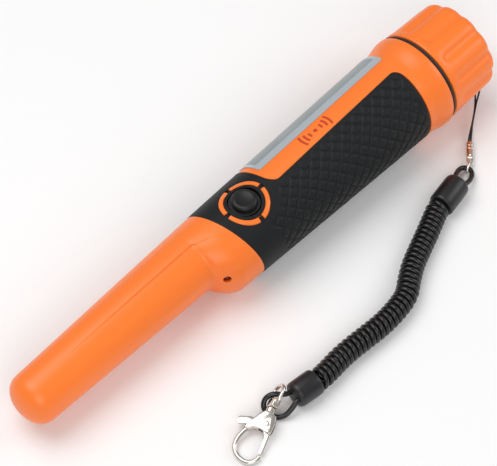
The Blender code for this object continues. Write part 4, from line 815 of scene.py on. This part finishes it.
def buildBezel():
    ring = bmesh.new()
    for quarter in range(4):
        arc = bmesh.new()
        low, high, inner, outer = -bezel["seat"], bezel["proud"], bezel["inner"], bezel["outer"]
        section = [(inner, low), (outer, low), (outer, high - 0.3), (outer - 0.3, high), (inner + 0.3, high),
                   (inner, high - 0.3)]
        verts = [arc.verts.new((r * mm, 0, z * mm)) for r, z in section]
        edges = [arc.edges.new(pair) for pair in zip(verts, verts[1:] + verts[:1])]
        start = math.radians(90 * quarter + bezel["gapDeg"] / 2)
        bmesh.ops.rotate(arc, cent=(0, 0, 0), matrix=Matrix.Rotation(start, 3, "Z"), verts=arc.verts)
        bmesh.ops.spin(arc, geom=verts + edges, cent=(0, 0, 0), axis=(0, 0, 1),
                       angle=math.radians(90 - bezel["gapDeg"]),
                       steps=24)
        bmesh.ops.holes_fill(arc, edges=[edge for edge in arc.edges if edge.is_boundary], sides=0)
        mergeInto(ring, arc)
    floorRing = spun([(-bezel["seat"], inner), (-bezel["seat"], outer), (-0.3, outer), (-0.3, inner)], 96)
    upright(floorRing)

    def drape(bm):
        for vert in bm.verts:
            radius = bodyRadius(shell["buttonX"] + vert.co.x / mm) * mm
            vert.co.z += math.sqrt(radius ** 2 - vert.co.y ** 2)
        bmesh.ops.translate(bm, vec=(shell["buttonX"] * mm, 0, 0), verts=bm.verts)
        return bm

    addPiece("buttonBezel", drape(ring), "housing", "orangeShell", ["button_bezel"],
             probeMatrix)
    addPiece("bezelWeb", drape(floorRing), "housing", "softGrip", (), probeMatrix)


def buildButton():
    top = bodyRadius(shell["buttonX"]) + 1.8
    profile = [(11.6, 0), (11.6, 2.0), (15.6, 2.0), (15.6, 6.2), (16.6, 6.2), (16.6, 5.0), (top - 1.1, 5.0),
               (top - 0.7, 4.93), (top - 0.35, 4.7), (top - 0.12, 4.3), (top, 3.7), (top - 0.1, 3.2),
               (top - 0.3, 2.4),
               (top - 0.42, 1.4), (top - 0.45, 0)]
    bm = spun(profile, 64, closed=False)
    upright(bm, shell["buttonX"])
    addPiece("powerButton", bm, "button", "buttonGloss", ["power_button"], probeMatrix)


label = {"front": -83.5, "back": -11.7, "low": -8.7, "high": 8.7, "thick": 0.3, "lift": 0.06, "corner": 1.2}
panel = {"front": -82.0, "back": -13.2, "low": -7.8, "high": 5.2, "thick": 0.1, "lift": 0.3, "corner": 0.6}


def curvedPlate(plate, columns, rows):
    bm = bmesh.new()
    bmesh.ops.create_grid(bm, x_segments=columns, y_segments=rows, size=1)
    length, half = (plate["back"] - plate["front"]) / 2, (plate["high"] - plate["low"]) / 2
    corner = plate["corner"]
    for vert in bm.verts:
        x, y = vert.co.x * length, vert.co.y * half
        overX, overY = abs(x) - (length - corner), abs(y) - (half - corner)
        if overX > 0 and overY > 0:
            pull = max(math.hypot(overX, overY) / corner, 1)
            x = math.copysign(length - corner + overX / pull, x)
            y = math.copysign(half - corner + overY / pull, y)
        x += (plate["front"] + plate["back"]) / 2
        y += (plate["high"] + plate["low"]) / 2
        radius = bodyRadius(x) + plate["lift"]
        vert.co = around(shell["labelDeg"] + math.degrees(math.asin(y / radius)), radius, x) * mm
    thicken(bm, plate["thick"])
    return bm


def buildLabel():
    addPiece("labelStrip", curvedPlate(label, 96, 40), "housing", "labelFilm", ["label_strip"],
             probeMatrix)
    addPiece("labelPanel", curvedPlate(panel, 96, 30), "housing", "panelInk", (), probeMatrix)


mark = {"x": -55.5, "angleDeg": -9.0, "radii": (3.0, 5.2, 7.4), "spanDeg": 22.0, "width": 1.0, "lift": 0.04}


def buildMark():
    bm = bmesh.new()
    dot = bmesh.new()
    bmesh.ops.create_circle(dot, cap_ends=True, segments=20, radius=0.9 * mm)
    mergeInto(bm, dot)
    for side in (0, math.pi):
        for radius in mark["radii"]:
            arc = bmesh.new()
            span = math.radians(mark["spanDeg"])
            verts = [arc.verts.new(((radius + w) * mm, 0, 0)) for w in (-mark["width"] / 2,
                                                                        mark["width"] / 2)]
            edge = arc.edges.new(verts)
            bmesh.ops.rotate(arc, cent=(0, 0, 0), matrix=Matrix.Rotation(side - span, 3, "Z"),
                             verts=arc.verts)
            bmesh.ops.spin(arc, geom=verts + [edge], cent=(0, 0, 0), axis=(0, 0, 1), angle=2 * span, steps=10)
            mergeInto(bm, arc)
    for vert in bm.verts:
        x, y = vert.co.x / mm + mark["x"], vert.co.y / mm
        radius = bodyRadius(x) + mark["lift"]
        vert.co = around(mark["angleDeg"] + math.degrees(y / radius), radius, x) * mm
    bmesh.ops.recalc_face_normals(bm, faces=bm.faces)
    for face in bm.faces:
        if face.normal.z < 0:
            face.normal_flip()
    bmesh.ops.solidify(bm, geom=list(bm.faces), thickness=0.08 * mm)
    addPiece("sensorMark", bm, "housing", "markInk", (), probeMatrix, turnFaces=False)


cap = {"front": 1.8, "back": 26.5, "radius": 20.6, "taper": 0.6, "lobes": 12, "depth": 1.15, "recess": 15.6,
       "recessDepth": 6.0, "mouth": 18.2}


def capLobe(x):
    return softStep(cap["front"] + 2.2, cap["front"] + 5.0,
                    x) * (1 - 0.25 * softStep(cap["back"] - 2.5, cap["back"], x))


def buildCap():
    front, back, outer, mouth, recess = (cap[key] for key in ("front", "back", "radius", "mouth", "recess"))
    rim, recessFloor = outer - cap["taper"], back - cap["recessDepth"]
    profile = [(front + 16, 0), (front + 16, 16.3), (front + 15, mouth), (front + 0.4, mouth),
               (front, mouth + 0.4), (front, outer - 0.5), (front + 0.12, outer - 0.18),
               (front + 0.45, outer)]
    profile += [(x, outer - cap["taper"] * (x - front) / (back - front)) for x in
                (front + 1.5, front + 2.2, front + 2.8, front + 3.4, front + 4, front + 4.6, front + 5.2,
                 front + 7, front + 10,
                 front + 13, front + 16, front + 19, back - 3.4)]
    profile += [(back - 2.6, rim - 0.05), (back - 1.8, rim - 0.3), (back - 1.1, rim - 0.75),
                (back - 0.5, rim - 1.3),
                (back - 0.15, rim - 1.8), (back, rim - 2.3), (back, recess + 0.3), (back - 0.3, recess),
                (recessFloor + 1, recess), (recessFloor, recess - 1),
                (recessFloor, 0)]
    bm = spun(profile, 240, closed=False)
    for vert in bm.verts:
        radius = math.hypot(vert.co.y, vert.co.z) / mm
        x = vert.co.x / mm
        if radius < recess + 0.6 or x < front + 1:
            continue
        angle = math.degrees(math.atan2(-vert.co.y, vert.co.z))
        groove = (0.5 + 0.5 * math.cos(math.radians(angle * cap["lobes"]))) ** 2.2
        share = (radius - cap["depth"] * capLobe(x) * groove) / radius
        vert.co.y *= share
        vert.co.z *= share
    lug = Matrix.Rotation(math.radians(lanyard["lugDeg"]), 4, "X")
    notch = blockMesh((recessFloor + 0.2, -2.7, 13.6), (back + 5, 2.7, 26), 0.8)
    bmesh.ops.transform(notch, matrix=lug, verts=notch.verts)
    bm = cutMesh(bm, [scratchObject("notchCut", notch)])
    addPiece("batteryCap", bm, "cap", "orangeShell", ["battery_cap"], probeMatrix,
             sharpDeg=32)
    barX, barPlace, barRadius = lanyard["bar"]
    bar = rodMesh((barX, -10.6, barPlace), (barX, 10.6, barPlace), barRadius, 32)
    addPiece("lanyardBar", bar, "cap", "orangeShell", (), probeMatrix @ lug)


buildNose()
print("nose is built")
buildHousing()
print("housing is built")
buildGrip()
print("grip is built")
buildBezel()
buildButton()
buildLabel()
buildMark()
buildCap()
print("button, label and cap are built")


# metal fittings of the lanyard
hook = {"at": (-49.019, -57.95, 5.2), "turnDeg": -157.9, "dipDeg": 9.5325, "bailDeg": 52.0,
        "gate": (8.8, 0.9)}
hookMatrix = (Matrix.Translation(Vector(hook["at"]) * mm) @ Matrix.Rotation(math.radians(hook["turnDeg"]), 4,
                                                                            "Z")
              @ Matrix.Rotation(math.radians(hook["dipDeg"]), 4, "Y"))
bailMatrix = hookMatrix @ Matrix.Rotation(math.radians(hook["bailDeg"]), 4, "X")
gateMatrix = hookMatrix @ Matrix.Translation(Vector((hook["gate"][0], hook["gate"][1], 0)) * mm)


def buildFittings():
    top, end = (Vector(point) + Vector((probe["sealX"], 0, 0)) for point in lanyard["ferrule"])
    way = (end - top).normalized()
    length = (end - top).length
    tube = spun([(length - 1.5, 0), (length - 1.5, 1.35), (0, 1.35), (0, 1.6), (0.15, 1.7),
                 (length - 0.3, 1.7),
                 (length, 1.45), (length, 0)], 48, closed=False)
    turn = Matrix.Translation(top * mm) @ way.to_track_quat("X", "Z").to_matrix().to_4x4()
    tab = blockMesh((length - 0.9, -1.4, -0.55), (length + 3.7, 1.4, 0.55), 0.4)
    hole = rodMesh((length + 2.1, 0, -3), (length + 2.1, 0, 3), 0.85, 32)
    tab = cutMesh(tab, [scratchObject("tabHole", hole)])
    mergeInto(tube, tab)
    for along in (1.8, 3.4):
        crimp = spun([(along - 0.25, 1.68), (along, 1.78), (along + 0.25, 1.68)], 48)
        mergeInto(tube, crimp)
    addPiece("stringFerrule", tube, "cap", "brightNickel", ["string_ferrule"], turn)
    start = end + way * 2.1
    reach = (Vector((-9.4 + probe["sealX"], -37.2, 0)) - Vector((start.x, start.y, 0))) / 2
    ringPoints = []
    for i in range(48):
        angle = 2 * math.pi * i / 48
        ringPoints.append(start + reach * (1 - math.cos(angle)) + Vector((0, 0,
                                                                          0.3 + 1.95 * math.sin(angle))))
    addPiece("jumpLink", sweptMesh(ringPoints, 0.9, cyclic=True), "cap", "brightNickel",
             ["jump_link"])
    # swivel
    bail = blockMesh((-1.9, -2.2, -1.5), (1.5, 2.2, 1.5), 0.5)
    archRoute = [(-0.9, 1.9, 0), (-2.2, 2.9, 0), (-4.6, 3.3, 0), (-7.0, 2.5, 0), (-8.2, 0, 0),
                 (-7.0, -2.5, 0),
                 (-4.6, -3.3, 0), (-2.2, -2.9, 0), (-0.9, -1.9, 0)]
    mergeInto(bail, sweptMesh(smoothPoints(archRoute, 64), 1.5))
    collarRing = spun([(-2.0, 0.95), (-2.0, 1.5), (-1.7, 1.7), (-1.5, 0.95)], 40)
    mergeInto(bail, collarRing)
    addPiece("swivelBail", bail, "cap", "brightNickel", ["swivel_bail"], bailMatrix)
    pin = spun([(4.9, 0), (4.9, 0.95), (4.7, 1.1), (3.9, 1.1), (3.9, 0.75), (-2.1, 0.75), (-2.1, 1.05),
                (-2.35, 1.0),
                (-2.6, 0.6), (-2.65, 0)], 32, closed=False)
    addPiece("swivelPin", pin, "cap", "brightNickel", ["swivel_pin"], bailMatrix)


def buildHook():
    outline = [(3.4, -1.6), (3.4, 1.6), (4.2, 1.75), (4.8, 3.2), (8.0, 3.75), (11.4, 3.65), (12.3, 2.9),
               (11.9, 1.4),
               (11.3, -1.0), (11.6, -3.4), (13.0, -5.2), (12.4, -6.6), (11.2, -6.3), (4.8, -2.95),
               (4.2, -1.75)]
    body = plateMesh(outline, 1.6, 0.35)
    cutters = [scratchObject("gateSlot", blockMesh((6.2, -12, -0.85), (11.3, 12, 0.85))),
               scratchObject("leverWay", blockMesh((5.7, -12, -0.85), (8, -0.55, 0.85))),
               scratchObject("leverReach", blockMesh((4.9, -12, -0.85), (8, -1.75, 0.85))),
               scratchObject("gateWay", blockMesh((6.2, -1.5, -0.85), (16, 12, 0.85))),
               scratchObject("pinHole", rodMesh((3, 0, 0), (5.6, 0, 0), 1.3, 32)),
               scratchObject("rivetHole", rodMesh((8.8, 0.9, -5), (8.8, 0.9, 5), 0.85, 32))]
    body = cutMesh(body, cutters)
    neck = spun([(2.0, 0.95), (2.0, 1.5), (2.2, 1.75), (3.4, 1.8), (3.7, 1.7), (3.8, 0.95)], 40)
    mergeInto(body, neck)
    arm = [(11.8, -5.2, 0), (13.9, -6.4, 0), (17.2, -7.5, 0), (20.7, -7.4, 0), (23.5, -5.5, 0),
           (25.0, -2.4, 0),
           (24.8, 0.3, 0), (23.1, 2.2, 0), (21.3, 2.9, 0)]
    sweep = sweptMesh(smoothPoints(arm, 60), 2.0, resolution=6)
    bmesh.ops.bevel(sweep, geom=[edge for edge in sweep.edges if edge.calc_face_angle(0) > 1.0],
                    offset=0.4 * mm, segments=3,
                    affect="EDGES", profile=0.5, material=-1)
    mergeInto(body, sweep)
    addPiece("hookBody", body, "hook", "brightNickel", ["hook_body"], hookMatrix)
    rivet = spun([(2.1, 0), (2.1, 0.6), (2.0, 0.95), (1.78, 1.1), (1.65, 1.1), (1.65, 0.7), (-1.65, 0.7),
                  (-1.65, 1.1), (-1.78, 1.1),
                  (-2.0, 0.95), (-2.1, 0.6), (-2.1, 0)], 32, closed=False)
    upright(rivet)
    addPiece("gateRivet", rivet, "hook", "brightNickel", ["gate_rivet"], gateMatrix)
    gateOutline = [(-1.6, -1.5), (-1.6, 1.0), (0, 1.7), (3.2, 2.5), (11.8, 2.7), (11.9, 1.4), (11.4, 1.0),
                   (4.6, 0.9), (2.0, -1.0),
                   (1.4, -2.6), (2.2, -8.0), (3.0, -10.4), (1.6, -11.6), (0.0, -11.0), (-1.2, -7.0)]
    gate = plateMesh(gateOutline, 0.6, 0.22)
    addPiece("hookGate", gate, "gate", "brightNickel", ["hook_gate"], gateMatrix)


buildFittings()
buildHook()
print("fittings are built")


# pieces inside keep their solids and take a finish
insideFinishes = {
    "satinSteel": ["battery_spring", "board_screw_1", "board_screw_2", "board_screw_3", "board_screw_4",
                   "vibration_motor",
                   "motor_shaft", "motor_weight"],
    "batteryJacket": ["battery"], "padFoam": ["battery_pad"], "paleMoulding": ["chassis", "switch_plunger",
                                                                               "coil_bobbin"],
    "darkMoulding": ["battery_snap", "switch_body", "control_chip", "buzzer"],
    "solderMask": ["circuit_board"],
    "trimmerBlue": ["sensitivity_trimmer"], "ferriteBlack": ["ferrite_rod"],
    "copperWire": ["receive_winding", "transmit_winding"],
    "redWire": ["coil_lead_2", "battery_lead_2"], "blackWire": ["coil_lead_1", "battery_lead_1"],
}
for look, names in insideFinishes.items():
    for name in names:
        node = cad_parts[name]
        node.data.materials.clear()
        node.data.materials.append(finish(look))

print("finished", len(made), "materials")
